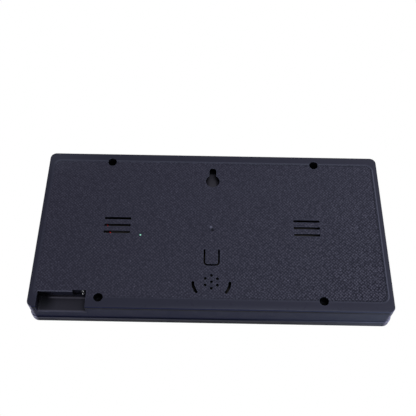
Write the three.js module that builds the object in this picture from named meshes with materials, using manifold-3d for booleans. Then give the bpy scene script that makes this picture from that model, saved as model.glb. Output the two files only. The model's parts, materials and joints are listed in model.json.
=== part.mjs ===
// Digital wall clock: a shallow case hung on one screw, with a seven-segment display in front.
// Millimetres, +Z up. The display faces -Y and the wall is the plane y = 0.
// Every piece is drawn about the centre of the case's back, and the whole clock is then moved
// so that the origin is the middle of the keyhole's round top, where the wall screw sits.
import * as THREE from 'three';
import { mergeVertices } from 'three/addons/utils/BufferGeometryUtils.js';
import Module from 'manifold-3d';

const wasm = await Module();
wasm.setup();

// Case
const CASE_WIDTH = 360;
const CASE_HEIGHT = 183;
const CASE_DEPTH = 35;
const CASE_CORNER = 6.5;
const WALL = 2.5;
const RIB_THICKNESS = 2;
const RIB_HEIGHT = 3;

// Clearances and drawing steps
const SEAT_GAP = 0.3;
const SLIDE_GAP = 0.3;
const OVERCUT = 1;
const MERGE = 0.5;
const CORNER_STEPS = 3;
const SMALL_CORNER_STEPS = 1;
const POCKET_END_STEPS = 3;
const ROUND_SIDES = 24;
const HOLE_SIDES = 16;
const SMALL_SIDES = 12;
const WIRE_SIDES = 8;

// Rear cover: smooth border round a textured field that is set in
const COVER_THICKNESS = 2.5;
const COVER_EDGE_ROUND = 1.2;
const COVER_EDGE_STEPS = 3;
const FIELD_DEPTH = 0.6;
const FIELD_SIDE_INSET = 5.8;
const FIELD_TOP_INSET = 10;
const FIELD_BOTTOM_INSET = 10.8;
const FIELD_CORNER = 7;
const GATE_MARK_DROP = 0.7;
const GATE_MARK_RADIUS = 1.8;
const GATE_MARK_DEPTH = 0.4;

// Case screws in deep counterbores
const SCREW_SIDE_INSET = 69.2;
const SCREW_EDGE_INSET = 10.9;
const COUNTERBORE_RADIUS = 4.8;
const COUNTERBORE_DEPTH = 12.9;
const COUNTERBORE_FLOOR = 1.5;
const POST_WALL = 1.5;
const CASE_SCREW_RADIUS = 1.4;
const CASE_SCREW_LENGTH = 14;
const CASE_HEAD_RADIUS = 2.8;
const CASE_HEAD_HEIGHT = 2.2;
const CASE_BOSS_WALL = 1.9;
const CROSS_WIDTH_SHARE = 0.35;
const CROSS_LENGTH_SHARE = 1.2;

// Keyhole and the blind cup behind it
const KEYHOLE_DROP = 20.6;
const KEYHOLE_SLOT_RADIUS = 3.8;
const KEYHOLE_ENTRY_RADIUS = 7.6;
const KEYHOLE_TRAVEL = 13.3;
const KEYHOLE_CUP_DEPTH = 8;
const KEYHOLE_CUP_MARGIN = 3.5;
const KEYHOLE_CUP_WALL = 1.5;
const KEYHOLE_CUP_CORNER = 3;

// Vents
const VENT_COUNT = 3;
const VENT_LENGTH = 27.8;
const VENT_HEIGHT = 3;
const VENT_CORNER = 0.8;
const VENT_PITCH = 8.2;
const VENT_OFFSET = 98.7;
const VENT_RISE = 1.3;

// Press tab, hinged along its top edge, with a pusher for the switch behind it
const TAB_DROP = 25.3;
const TAB_WIDTH = 12.6;
const TAB_LENGTH = 16.7;
const TAB_SLOT = 2.1;
const TAB_CORNER = 2.3;
const TAB_PUSHER_OFFSET = 12;
const TAB_PUSHER_RADIUS = 1.6;

// Speaker, its grille and its two clips
const SPEAKER_RISE = 29.8;
const SPEAKER_RADIUS = 15;
const SPEAKER_RIM = 1.6;
const SPEAKER_RIM_WIDTH = 2.4;
const SPEAKER_DEPTH = 5.4;
const SPEAKER_BACK_RADIUS = 9;
const SPEAKER_SHEET = 0.8;
const CONE_THICKNESS = 0.5;
const CONE_DEPTH = 3;
const CONE_NECK_RADIUS = 4;
const CONE_CAP_RISE = 1;
const MAGNET_RADIUS = 7.5;
const MAGNET_HEIGHT = 4;
const GRILLE_HOLE_RADIUS = 1.6;
const GRILLE_RING_RADIUS = 7;
const GRILLE_RING_HOLES = 6;
const ARC_SLOT_RADIUS = 18.5;
const ARC_SLOT_HALF_WIDTH = 1.6;
const ARC_SLOT_FIRST_DEGREES = 3;
const ARC_SLOT_LAST_DEGREES = 37;
const CLIP_WALL = 1.5;
const CLIP_WIDTH = 8;
const CLIP_NOSE = 1.5;
const CLIP_BITE = 0.8;

// Corner pocket for the supply plug, open to the back and to the bottom
const POCKET_SIDE_INSET = 9;
const POCKET_LENGTH = 48;
const POCKET_HEIGHT = 16.4;
const POCKET_DEPTH = 12;
const POCKET_END_ROUND = 2.5;
const POCKET_WALL = 1.8;
const RECESS_LENGTH = 13.9;
const RECESS_RISE = 2.3;

// Supply socket on its upright board
const SOCKET_INSET = 4.5;
const SOCKET_DEPTH = 7.1;
const SHELL_LONG = 7.6;
const SHELL_SHORT = 3;
const SHELL_LENGTH = 5.5;
const SHELL_SHEET = 0.3;
const SHELL_CORNER = 0.9;
const SHELL_PROUD = 0.5;
const TONGUE_THICKNESS = 0.7;
const TONGUE_WIDTH = 5;
const TONGUE_LENGTH = 3.4;
const TONGUE_BASE = 1.2;
const TONGUE_GAP = 0.2;
const POWER_BOARD_THICKNESS = 1.2;
const POWER_BOARD_LENGTH = 24;

// Slotted guides that carry the two small boards
const GUIDE_WALL = 1.8;
const GUIDE_REACH = 2.5;
const GUIDE_LENGTH = 4;

// Front frame, lens and display stack
const LIP_PROUD = 1;
const LIP_DEPTH = 10.4;
const LIP_ROUND = 1.8;
const LIP_STEPS = 4;
const BEZEL_BORDER = 10;
const LENS_RECESS = 0.3;
const LENS_THICKNESS = 2.5;
const LENS_CORNER = 4;
const FLANGE_THICKNESS = 1.5;
const WINDOW_INSET = 22;
const WINDOW_CORNER = 3;
const MASK_THICKNESS = 1.2;
const DIFFUSER_THICKNESS = 1;
const REFLECTOR_THICKNESS = 6;
const STACK_CORNER = 2;

// Digits of the display
const DIGIT_COUNT = 4;
const DIGIT_SIDE_MARGIN = 8;
const DIGIT_END_MARGIN = 13;
const DIGIT_SPACING = 11;
const STROKE = 12;
const SEGMENT_GAP = 2;
const COLON_SPACE = 18;
const COLON_RADIUS = 5.5;
const COLON_OFFSET = 22;

// Display board with its light-emitting diodes
const BOARD_THICKNESS = 1.6;
const BOARD_SCREW_INSET = 15;
const BOARD_SCREW_STEP = 60;
const BOARD_EDGE = 4.5;
const BOARD_SCREW_RADIUS = 1.1;
const BOARD_SCREW_LENGTH = 8;
const BOARD_HEAD_RADIUS = 2.3;
const BOARD_HEAD_HEIGHT = 1.6;
const BOARD_BOSS_WALL = 1.6;
const LEDS_PER_SEGMENT = 3;
const LED_LENGTH = 3.5;
const LED_WIDTH = 2.8;
const LED_HEIGHT = 1.5;

// Set buttons in the top wall, with their switches and board
const BUTTON_COUNT = 4;
const BUTTON_PITCH = 14;
const BUTTON_SIDE_INSET = 94;
const BUTTON_DEPTH = 13;
const BUTTON_WIDTH = 10;
const BUTTON_THICKNESS = 5.4;
const BUTTON_PROUD = 1.4;
const BUTTON_CORNER = 1.5;
const BUTTON_EDGE_ROUND = 0.5;
const BUTTON_EDGE_STEPS = 2;
const BUTTON_FLANGE_REACH = 1.3;
const BUTTON_FLANGE = 1.2;
const BUTTON_STEM_RADIUS = 1.7;
const BUTTON_STEM_LENGTH = 2.1;
const BUTTON_BOARD_THICKNESS = 1.6;
const BUTTON_BOARD_WIDTH = 12;
const BUTTON_BOARD_END = 12;

// Push switches, under the buttons and under the press tab
const SWITCH_SIDE = 6.2;
const SWITCH_HEIGHT = 3.5;
const PLUNGER_RADIUS = 1.6;
const PLUNGER_PROUD = 1.3;
const PLUNGER_SUNK = 1;
const PLUNGER_ROOM = 0.9;

// Parts on the back of the display board: sizes, and places from the case's middle or its edges
const CHIP_LENGTH = 18;
const CHIP_WIDTH = 7.5;
const CHIP_HEIGHT = 2.4;
const CHIP_LEAD = 1.3;
const CHIP_LEAD_COUNT = 9;
const CHIP_X = -26;
const CHIP_Z = 14;
const DRIVER_LENGTH = 10;
const DRIVER_WIDTH = 4;
const DRIVER_HEIGHT = 1.6;
const DRIVER_LEAD_COUNT = 5;
const DRIVER_X = 48;
const DRIVER_Z = 30;
const CRYSTAL_RADIUS = 1.1;
const CRYSTAL_LENGTH = 6.2;
const CRYSTAL_X = -44;
const CRYSTAL_Z = 14;
const CAPACITOR_RADIUS = 3.2;
const CAPACITOR_HEIGHT = 8;
const CAPACITOR_SIDE_INSET = 42;
const CAPACITOR_Z = 20;
const CELL_RADIUS = 10;
const CELL_THICKNESS = 3.2;
const CELL_HOLDER_WALL = 1.4;
const CELL_HOLDER_FLOOR = 0.9;
const CELL_CLIP_WIDTH = 5;
const CELL_CLIP_SHEET = 0.4;
const CELL_X = -60;
const CELL_Z = 40;
const CONNECTOR_LENGTH = 7.4;
const CONNECTOR_WIDTH = 5.6;
const CONNECTOR_HEIGHT = 5.8;
const SUPPLY_CONNECTOR_SIDE_INSET = 58;
const SUPPLY_CONNECTOR_Z = 24;
const SPEAKER_CONNECTOR_X = 34;
const SPEAKER_CONNECTOR_Z = -24;
const BUTTON_CONNECTOR_DROP = 29;
const THERMISTOR_X = 74.1;
const THERMISTOR_Z = -9.8;
const THERMISTOR_HOLE_RADIUS = 1.3;
const BEAD_RADIUS = 0.95;
const LEAD_RADIUS = 0.25;
const LEAD_SPREAD = 0.5;

// Wires
const WIRE_RADIUS = 0.7;
const WIRE_SPACING = 2.4;
const WIRE_STEPS = 20;
const WIRE_LEAD = 3;
const WIRE_BEND = 13;
const WIRE_PASS_DEPTH = 3;
const SPEAKER_WIRE_DEGREES = 35;
const RIBBON_WIDTH = 6;
const RIBBON_THICKNESS = 1.2;
const RIBBON_STEPS = 12;

// Planes of the case and of the display stack, from the wall to the front
const HALF_WIDTH = CASE_WIDTH / 2;
const HALF_HEIGHT = CASE_HEIGHT / 2;
const COVER_INNER_Y = -COVER_THICKNESS;
const FRONT_Y = -CASE_DEPTH;
const LIP_BACK_Y = FRONT_Y + LIP_DEPTH;
const LENS_FRONT_Y = FRONT_Y + LENS_RECESS;
const LENS_BACK_Y = LENS_FRONT_Y + LENS_THICKNESS;
const FLANGE_FRONT_Y = LENS_BACK_Y + SEAT_GAP;
const FLANGE_BACK_Y = FLANGE_FRONT_Y + FLANGE_THICKNESS;
const MASK_FRONT_Y = FLANGE_BACK_Y + SEAT_GAP;
const MASK_BACK_Y = MASK_FRONT_Y + MASK_THICKNESS;
const DIFFUSER_FRONT_Y = MASK_BACK_Y + SEAT_GAP;
const DIFFUSER_BACK_Y = DIFFUSER_FRONT_Y + DIFFUSER_THICKNESS;
const REFLECTOR_FRONT_Y = DIFFUSER_BACK_Y + SEAT_GAP;
const REFLECTOR_BACK_Y = REFLECTOR_FRONT_Y + REFLECTOR_THICKNESS;
const BOARD_FRONT_Y = REFLECTOR_BACK_Y + SEAT_GAP;
const BOARD_BACK_Y = BOARD_FRONT_Y + BOARD_THICKNESS;
const PARTS_Y = BOARD_BACK_Y + SEAT_GAP;

// Places that several pieces share
const SCREW_X = HALF_WIDTH - SCREW_SIDE_INSET;
const SCREW_Z = HALF_HEIGHT - SCREW_EDGE_INSET;
const POST_RADIUS = COUNTERBORE_RADIUS + POST_WALL;
const POST_END_Y = -COUNTERBORE_DEPTH - COUNTERBORE_FLOOR;
const CASE_BOSS_RADIUS = CASE_SCREW_RADIUS + SLIDE_GAP + CASE_BOSS_WALL;
const BOARD_SCREW_X = HALF_WIDTH - BOARD_SCREW_INSET;
const BOARD_BOSS_RADIUS = BOARD_SCREW_RADIUS + SLIDE_GAP + BOARD_BOSS_WALL;
const STACK_WIDTH = 2 * (BOARD_SCREW_X - BOARD_BOSS_RADIUS - SEAT_GAP);
const STACK_HEIGHT = 2 * (SCREW_Z - CASE_BOSS_RADIUS - SEAT_GAP);
const WINDOW_WIDTH = CASE_WIDTH - 2 * WINDOW_INSET;
const WINDOW_HEIGHT = CASE_HEIGHT - 2 * WINDOW_INSET;
const CAPACITOR_X = HALF_WIDTH - CAPACITOR_SIDE_INSET;
const SUPPLY_CONNECTOR_X = HALF_WIDTH - SUPPLY_CONNECTOR_SIDE_INSET;
const KEYHOLE_Z = HALF_HEIGHT - KEYHOLE_DROP;
const ENTRY_Z = KEYHOLE_Z - KEYHOLE_TRAVEL;
const TAB_TOP_Z = -TAB_DROP;
const PUSHER_Z = TAB_TOP_Z - TAB_PUSHER_OFFSET;
const SPEAKER_Z = SPEAKER_RISE - HALF_HEIGHT;
const POCKET_RIGHT = HALF_WIDTH - POCKET_SIDE_INSET;
const POCKET_LEFT = POCKET_RIGHT - POCKET_LENGTH;
const POCKET_TOP_Z = POCKET_HEIGHT - HALF_HEIGHT;
const RECESS_TOP_Z = POCKET_TOP_Z + RECESS_RISE;
const POCKET_FLOOR_Y = -POCKET_DEPTH;
const SOCKET_X = POCKET_LEFT + SOCKET_INSET;
const SOCKET_Y = -SOCKET_DEPTH;
const SOCKET_MOUTH_Z = RECESS_TOP_Z - SHELL_PROUD;
const POWER_BOARD_FACE_X = SOCKET_X - SHELL_SHORT / 2 - SEAT_GAP;
const POWER_BOARD_WIDTH = 2 * (SOCKET_DEPTH - COVER_THICKNESS - SEAT_GAP);
const POWER_BOARD_Z = RECESS_TOP_Z + POCKET_WALL + SEAT_GAP;
const BUTTON_Y = -BUTTON_DEPTH;
const BUTTON_CONNECTOR_Z = HALF_HEIGHT - BUTTON_CONNECTOR_DROP;
const BUTTON_FIRST_X = HALF_WIDTH - BUTTON_SIDE_INSET;
const PLUNGER_TOP = WALL + SEAT_GAP + BUTTON_FLANGE + BUTTON_STEM_LENGTH + SEAT_GAP;
const BUTTON_BOARD_TOP_Z = HALF_HEIGHT - PLUNGER_TOP - PLUNGER_PROUD - SWITCH_HEIGHT - SEAT_GAP;

const BUTTON_XS = Array.from({ length: BUTTON_COUNT }, (_, i) => BUTTON_FIRST_X - i * BUTTON_PITCH);
const BUTTON_MIDDLE_X = (BUTTON_XS[0] + BUTTON_XS[BUTTON_COUNT - 1]) / 2;
const BUTTON_BOARD_LENGTH = (BUTTON_COUNT - 1) * BUTTON_PITCH + 2 * BUTTON_BOARD_END;
const CASE_SCREW_SPOTS = [[1, 1], [-1, 1], [1, -1], [-1, -1]].map(([a, b]) => [a * SCREW_X, b * SCREW_Z]);
const BOARD_SCREW_SPOTS = [1, -1].flatMap((side) =>
  [1, 0, -1].map((step) => [side * BOARD_SCREW_X, step * BOARD_SCREW_STEP]));

// From a three.js geometry to a solid that can be cut and joined, and back
function solid(geometry) {
  geometry.deleteAttribute('normal');
  geometry.deleteAttribute('uv');
  const merged = mergeVertices(geometry);
  return new wasm.Manifold(new wasm.Mesh({
    numProp: 3,
    vertProperties: new Float32Array(merged.attributes.position.array),
    triVerts: new Uint32Array(merged.index.array),
  }));
}

function toGeometry(manifold) {
  const { vertProperties, triVerts } = manifold.getMesh();
  const geometry = new THREE.BufferGeometry();
  geometry.setAttribute('position', new THREE.BufferAttribute(new Float32Array(vertProperties), 3));
  geometry.setIndex(new THREE.BufferAttribute(new Uint32Array(triVerts), 1));
  geometry.computeVertexNormals();
  return geometry;
}

// Outlines seen from the front, drawn in x and z
function roundedOutline(width, height, radius, x = 0, z = 0) {
  const [right, left] = [x + width / 2 - radius, x - width / 2 + radius];
  const [top, bottom] = [z + height / 2 - radius, z - height / 2 + radius];
  const shape = new THREE.Shape();
  shape.absarc(right, top, radius, 0, Math.PI / 2);
  shape.absarc(left, top, radius, Math.PI / 2, Math.PI);
  shape.absarc(left, bottom, radius, Math.PI, 1.5 * Math.PI);
  shape.absarc(right, bottom, radius, 1.5 * Math.PI, 2 * Math.PI);
  return shape;
}

function caseOutline(inset = 0) {
  const corner = Math.max(CASE_CORNER - inset, SEAT_GAP);
  return roundedOutline(CASE_WIDTH - 2 * inset, CASE_HEIGHT - 2 * inset, corner);
}

// Solids between two planes of constant y, front being the lower one
function alongY(geometry, back) {
  geometry.rotateX(Math.PI / 2);
  geometry.translate(0, back, 0);
  return solid(geometry);
}

function slab(outline, front, back, steps = CORNER_STEPS) {
  const options = { depth: back - front, bevelEnabled: false, curveSegments: steps };
  return alongY(new THREE.ExtrudeGeometry(outline, options), back);
}

function softSlab(outline, front, back, round, steps) {
  return alongY(new THREE.ExtrudeGeometry(outline, {
    depth: back - front - 2 * round,
    curveSegments: CORNER_STEPS,
    bevelThickness: round,
    bevelSize: round,
    bevelOffset: -round,
    bevelSegments: steps,
  }), back - round);
}

function box([x0, x1], [y0, y1], [z0, z1]) {
  const geometry = new THREE.BoxGeometry(x1 - x0, y1 - y0, z1 - z0);
  geometry.translate((x0 + x1) / 2, (y0 + y1) / 2, (z0 + z1) / 2);
  return solid(geometry);
}

function span(middle, length) {
  return [middle - length / 2, middle + length / 2];
}

function rodY(radius, front, back, x = 0, z = 0, sides = ROUND_SIDES) {
  const geometry = new THREE.CylinderGeometry(radius, radius, back - front, sides);
  geometry.translate(x, (front + back) / 2, z);
  return solid(geometry);
}

function rodZ(radius, bottom, top, sides = SMALL_SIDES) {
  const geometry = new THREE.CylinderGeometry(radius, radius, top - bottom, sides);
  geometry.rotateX(Math.PI / 2);
  geometry.translate(0, 0, (bottom + top) / 2);
  return solid(geometry);
}

function turned(profile, x = 0, z = 0, sides = ROUND_SIDES) {
  const points = profile.map(([radius, y]) => new THREE.Vector2(radius, y));
  const geometry = new THREE.LatheGeometry(points, sides);
  geometry.translate(x, 0, z);
  return solid(geometry);
}

function joined(solids) {
  return solids.reduce((sum, next) => sum.add(next));
}

// Materials, one for each finish
function finish(color, roughness, metalness = 0, opacity = 1) {
  return new THREE.MeshStandardMaterial({
    color, roughness, metalness, opacity, transparent: opacity < 1,
  });
}

const casePlastic = finish(0x2c2c38, 0.55);
const lensPlastic = finish(0x0a0a0d, 0.08, 0, 0.7);
const maskPlastic = finish(0x0c0c0e, 0.7);
const milkyPlastic = finish(0xd8d8d2, 0.5);
const whitePlastic = finish(0xeeeeea, 0.45);
const phenolic = finish(0x5a3420, 0.6);
const blackPlastic = finish(0x121214, 0.5);
const ivoryPlastic = finish(0xe6dfc8, 0.5);
const steel = finish(0xb8bac0, 0.3, 1);
const darkSteel = finish(0x18181a, 0.45, 1);
const paper = finish(0x1c1c1c, 0.95);
const ferrite = finish(0x3a3a3c, 0.6, 0.4);
const glassBead = finish(0xd6efd2, 0.15);
const redWire = finish(0xb01814, 0.5);
const blackWire = finish(0x151515, 0.5);
const greyRibbon = finish(0x8a8c90, 0.6);
const sleeve = finish(0x16202e, 0.4);

const clock = new THREE.Group();
clock.position.z = -KEYHOLE_Z;

function add(name, manifold, material, place = [0, 0, 0]) {
  const mesh = new THREE.Mesh(toGeometry(manifold), material);
  mesh.name = name;
  mesh.position.set(...place);
  clock.add(mesh);
  return mesh;
}

// Rear cover
function coverPlate() {
  const loose = softSlab(caseOutline(), COVER_INNER_Y - COVER_EDGE_ROUND, 0,
    COVER_EDGE_ROUND, COVER_EDGE_STEPS);
  const far = [COVER_INNER_Y - COVER_EDGE_ROUND - OVERCUT, COVER_INNER_Y];
  return loose.subtract(box(span(0, 2 * CASE_WIDTH), far, span(0, 2 * CASE_HEIGHT)));
}

// The step round the field slopes at 45 degrees
function texturedField() {
  const width = CASE_WIDTH - 2 * FIELD_SIDE_INSET;
  const height = CASE_HEIGHT - FIELD_TOP_INSET - FIELD_BOTTOM_INSET;
  const z = (FIELD_BOTTOM_INSET - FIELD_TOP_INSET) / 2;
  const outline = roundedOutline(width, height, FIELD_CORNER, 0, z);
  return softSlab(outline, -FIELD_DEPTH, FIELD_DEPTH + OVERCUT, FIELD_DEPTH, 1);
}

function locatingRib(front, back) {
  const outside = WALL + SEAT_GAP;
  const ring = slab(caseOutline(outside), front, back);
  return ring.subtract(slab(caseOutline(outside + RIB_THICKNESS), front - OVERCUT, back + OVERCUT));
}

function coverPosts() {
  return joined(CASE_SCREW_SPOTS.map(([x, z]) =>
    rodY(POST_RADIUS, POST_END_Y, COVER_INNER_Y + MERGE, x, z, HOLE_SIDES)));
}

function coverScrewHoles() {
  return joined(CASE_SCREW_SPOTS.flatMap(([x, z]) => [
    rodY(COUNTERBORE_RADIUS, -COUNTERBORE_DEPTH, OVERCUT, x, z),
    rodY(CASE_SCREW_RADIUS + SLIDE_GAP, POST_END_Y - OVERCUT, OVERCUT, x, z, SMALL_SIDES),
  ]));
}

function keyholeOpening(front) {
  const slotHeight = KEYHOLE_TRAVEL + 2 * KEYHOLE_SLOT_RADIUS;
  const slotWidth = 2 * KEYHOLE_SLOT_RADIUS;
  const slotZ = (KEYHOLE_Z + ENTRY_Z) / 2;
  const slot = roundedOutline(slotWidth, slotHeight, KEYHOLE_SLOT_RADIUS, 0, slotZ);
  return slab(slot, front, OVERCUT).add(rodY(KEYHOLE_ENTRY_RADIUS, front, OVERCUT, 0, ENTRY_Z));
}

function keyholeCup(grow, front, back) {
  const reach = KEYHOLE_ENTRY_RADIUS + KEYHOLE_CUP_MARGIN + grow;
  const [bottom, top] = [ENTRY_Z - reach, KEYHOLE_Z + reach];
  const outline = roundedOutline(2 * reach, top - bottom, KEYHOLE_CUP_CORNER + grow, 0, (top + bottom) / 2);
  return slab(outline, front, back);
}

function ventSlots() {
  const rows = Array.from({ length: VENT_COUNT }, (_, i) =>
    VENT_RISE + (i - (VENT_COUNT - 1) / 2) * VENT_PITCH);
  return joined([1, -1].flatMap((side) => rows.map((z) => {
    const outline = roundedOutline(VENT_LENGTH, VENT_HEIGHT, VENT_CORNER, side * VENT_OFFSET, z);
    return slab(outline, COVER_INNER_Y - OVERCUT, OVERCUT, SMALL_CORNER_STEPS);
  })));
}

// The tongue keeps its square top at the hinge; only its free end is round
function tabOutline(grow, topGap) {
  const half = TAB_WIDTH / 2 + grow;
  const corner = TAB_CORNER + grow;
  const bottom = TAB_TOP_Z - TAB_LENGTH - grow;
  const shape = new THREE.Shape();
  shape.moveTo(half, TAB_TOP_Z - topGap);
  shape.lineTo(-half, TAB_TOP_Z - topGap);
  shape.absarc(-half + corner, bottom + corner, corner, Math.PI, 1.5 * Math.PI);
  shape.absarc(half - corner, bottom + corner, corner, 1.5 * Math.PI, 2 * Math.PI);
  shape.closePath();
  return shape;
}

function grilleHoles() {
  const ring = Array.from({ length: GRILLE_RING_HOLES }, (_, i) => {
    const angle = Math.PI / 2 + (i * 2 * Math.PI) / GRILLE_RING_HOLES;
    return [GRILLE_RING_RADIUS * Math.cos(angle), GRILLE_RING_RADIUS * Math.sin(angle)];
  });
  return joined([[0, 0], ...ring].map(([x, z]) =>
    rodY(GRILLE_HOLE_RADIUS, COVER_INNER_Y - OVERCUT, OVERCUT, x, SPEAKER_Z + z, HOLE_SIDES)));
}

// Curved slot that starts just under the speaker's middle height, with round ends
function arcSlot(side) {
  const clockwise = side > 0;
  const level = clockwise ? 0 : Math.PI;
  const [start, end] = [ARC_SLOT_FIRST_DEGREES, ARC_SLOT_LAST_DEGREES].map((degrees) =>
    level - side * THREE.MathUtils.degToRad(degrees));
  const centre = (angle) =>
    [ARC_SLOT_RADIUS * Math.cos(angle), SPEAKER_Z + ARC_SLOT_RADIUS * Math.sin(angle)];
  const shape = new THREE.Shape();
  shape.absarc(0, SPEAKER_Z, ARC_SLOT_RADIUS + ARC_SLOT_HALF_WIDTH, start, end, clockwise);
  shape.absarc(...centre(end), ARC_SLOT_HALF_WIDTH, end, end - side * Math.PI, clockwise);
  shape.absarc(0, SPEAKER_Z, ARC_SLOT_RADIUS - ARC_SLOT_HALF_WIDTH, end, start, !clockwise);
  shape.absarc(...centre(start), ARC_SLOT_HALF_WIDTH, start + Math.PI, start, clockwise);
  return slab(shape, COVER_INNER_Y - OVERCUT, OVERCUT);
}

// Two hooks hold the speaker's rim, on the side of the two curved slots
function speakerClip(side) {
  const inside = SPEAKER_RADIUS + SEAT_GAP;
  const rimBackY = COVER_INNER_Y - SEAT_GAP - SPEAKER_RIM - SEAT_GAP;
  const noseFrontY = rimBackY - CLIP_NOSE;
  const pieces = [
    [[inside, inside + CLIP_WALL], [noseFrontY, COVER_INNER_Y + MERGE]],
    [[SPEAKER_RADIUS - CLIP_BITE, inside + CLIP_WALL], [noseFrontY, rimBackY]],
  ];
  return joined(pieces.map(([[x0, x1], [y0, y1]]) => {
    const geometry = new THREE.BoxGeometry(x1 - x0, y1 - y0, CLIP_WIDTH);
    geometry.translate((x0 + x1) / 2, (y0 + y1) / 2, 0);
    const tilt = THREE.MathUtils.degToRad(ARC_SLOT_LAST_DEGREES / 2);
    geometry.rotateY(side > 0 ? tilt : Math.PI - tilt);
    geometry.translate(0, 0, SPEAKER_Z);
    return solid(geometry);
  }));
}

function speakerSeat() {
  const inside = SPEAKER_RADIUS + SEAT_GAP;
  const front = COVER_INNER_Y - SEAT_GAP - SPEAKER_RIM;
  const ring = rodY(inside + CLIP_WALL, front, COVER_INNER_Y + MERGE, 0, SPEAKER_Z);
  const seat = ring.subtract(rodY(inside, front - OVERCUT, COVER_INNER_Y, 0, SPEAKER_Z));
  return joined([seat, speakerClip(1), speakerClip(-1)]);
}

// Body as long as the pocket whose floor curves up at the outer end
function pocketBody(grow, back, [bottom, top]) {
  const [left, right, floor] = [POCKET_LEFT - grow, POCKET_RIGHT + grow, POCKET_FLOOR_Y - grow];
  const round = POCKET_END_ROUND + grow;
  const shape = new THREE.Shape();
  shape.moveTo(left, floor);
  shape.lineTo(right - round, floor);
  shape.absarc(right - round, floor + round, round, -Math.PI / 2, 0);
  shape.lineTo(right, back);
  shape.lineTo(left, back);
  shape.closePath();
  const options = { depth: top - bottom, bevelEnabled: false, curveSegments: POCKET_END_STEPS };
  const geometry = new THREE.ExtrudeGeometry(shape, options);
  geometry.translate(0, 0, bottom);
  return solid(geometry);
}

function pocketShell() {
  const back = COVER_INNER_Y + MERGE;
  const recess = [POCKET_LEFT - POCKET_WALL, POCKET_LEFT + RECESS_LENGTH + POCKET_WALL];
  return pocketBody(POCKET_WALL, back, [-HALF_HEIGHT, POCKET_TOP_Z + POCKET_WALL])
    .add(box(recess, [POCKET_FLOOR_Y - POCKET_WALL, back], [-HALF_HEIGHT, RECESS_TOP_Z + POCKET_WALL]));
}

function pocketHollow() {
  const low = -HALF_HEIGHT - OVERCUT;
  return pocketBody(0, OVERCUT, [low, POCKET_TOP_Z])
    .add(box([POCKET_LEFT, POCKET_LEFT + RECESS_LENGTH], [POCKET_FLOOR_Y, OVERCUT], [low, RECESS_TOP_Z]));
}

function socketHole() {
  const wallZ = [RECESS_TOP_Z - OVERCUT, RECESS_TOP_Z + POCKET_WALL + OVERCUT];
  const gap = 2 * SLIDE_GAP;
  return box(span(SOCKET_X, SHELL_SHORT + gap), span(SOCKET_Y, SHELL_LONG + gap), wallZ);
}

// Guides that stand on the cover and hold a board's edge in a slot
function powerBoardGuides() {
  const thick = POWER_BOARD_THICKNESS + 2 * SLIDE_GAP;
  const boardX = POWER_BOARD_FACE_X - POWER_BOARD_THICKNESS / 2;
  const edgeY = SOCKET_Y + POWER_BOARD_WIDTH / 2;
  const shellTop = SOCKET_MOUTH_Z + SHELL_LENGTH;
  const boardTop = POWER_BOARD_Z + POWER_BOARD_LENGTH;
  const ends = [shellTop + SEAT_GAP + GUIDE_LENGTH / 2, boardTop - GUIDE_LENGTH / 2];
  return joined(ends.map((z) => {
    const block = box(span(boardX, thick + 2 * GUIDE_WALL), [edgeY - GUIDE_REACH, COVER_INNER_Y + MERGE],
      span(z, GUIDE_LENGTH));
    const slotY = [edgeY - GUIDE_REACH - OVERCUT, edgeY + SEAT_GAP];
    return block.subtract(box(span(boardX, thick), slotY, span(z, GUIDE_LENGTH + OVERCUT)));
  }));
}

function buttonBoardGuides() {
  const thick = BUTTON_BOARD_THICKNESS + 2 * SLIDE_GAP;
  const boardZ = BUTTON_BOARD_TOP_Z - BUTTON_BOARD_THICKNESS / 2;
  const edgeY = BUTTON_Y + BUTTON_BOARD_WIDTH / 2;
  const ends = span(BUTTON_MIDDLE_X, BUTTON_BOARD_LENGTH - GUIDE_LENGTH);
  return joined(ends.map((x) => {
    const block = box(span(x, GUIDE_LENGTH), [edgeY - GUIDE_REACH, COVER_INNER_Y + MERGE],
      span(boardZ, thick + 2 * GUIDE_WALL));
    const slotY = [edgeY - GUIDE_REACH - OVERCUT, edgeY + SEAT_GAP];
    return block.subtract(box(span(x, GUIDE_LENGTH + OVERCUT), slotY, span(boardZ, thick)));
  }));
}

function rearCover() {
  const cupFloorY = COVER_INNER_Y - KEYHOLE_CUP_DEPTH;
  const cupOutside = keyholeCup(KEYHOLE_CUP_WALL, cupFloorY - KEYHOLE_CUP_WALL, COVER_INNER_Y + MERGE);
  const cover = coverPlate()
    .subtract(texturedField())
    .add(locatingRib(COVER_INNER_Y - RIB_HEIGHT, COVER_INNER_Y + MERGE))
    .add(coverPosts())
    .add(cupOutside)
    .add(speakerSeat())
    .add(pocketShell())
    .add(powerBoardGuides())
    .add(buttonBoardGuides());
  const tabOpening = slab(tabOutline(TAB_SLOT, 0), COVER_INNER_Y - OVERCUT, OVERCUT);
  const gateMark = rodY(GATE_MARK_RADIUS, -FIELD_DEPTH - GATE_MARK_DEPTH, OVERCUT, 0, -GATE_MARK_DROP,
    SMALL_SIDES);
  const sensorHole = rodY(THERMISTOR_HOLE_RADIUS, COVER_INNER_Y - OVERCUT, OVERCUT,
    THERMISTOR_X, THERMISTOR_Z, SMALL_SIDES);
  const cuts = [
    coverScrewHoles(),
    keyholeCup(0, cupFloorY, COVER_INNER_Y),
    keyholeOpening(COVER_INNER_Y - OVERCUT),
    ventSlots(),
    tabOpening,
    grilleHoles(),
    arcSlot(1),
    arcSlot(-1),
    pocketHollow(),
    socketHole(),
    gateMark,
    sensorHole,
  ];
  return cuts.reduce((left, cut) => left.subtract(cut), cover);
}

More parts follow.
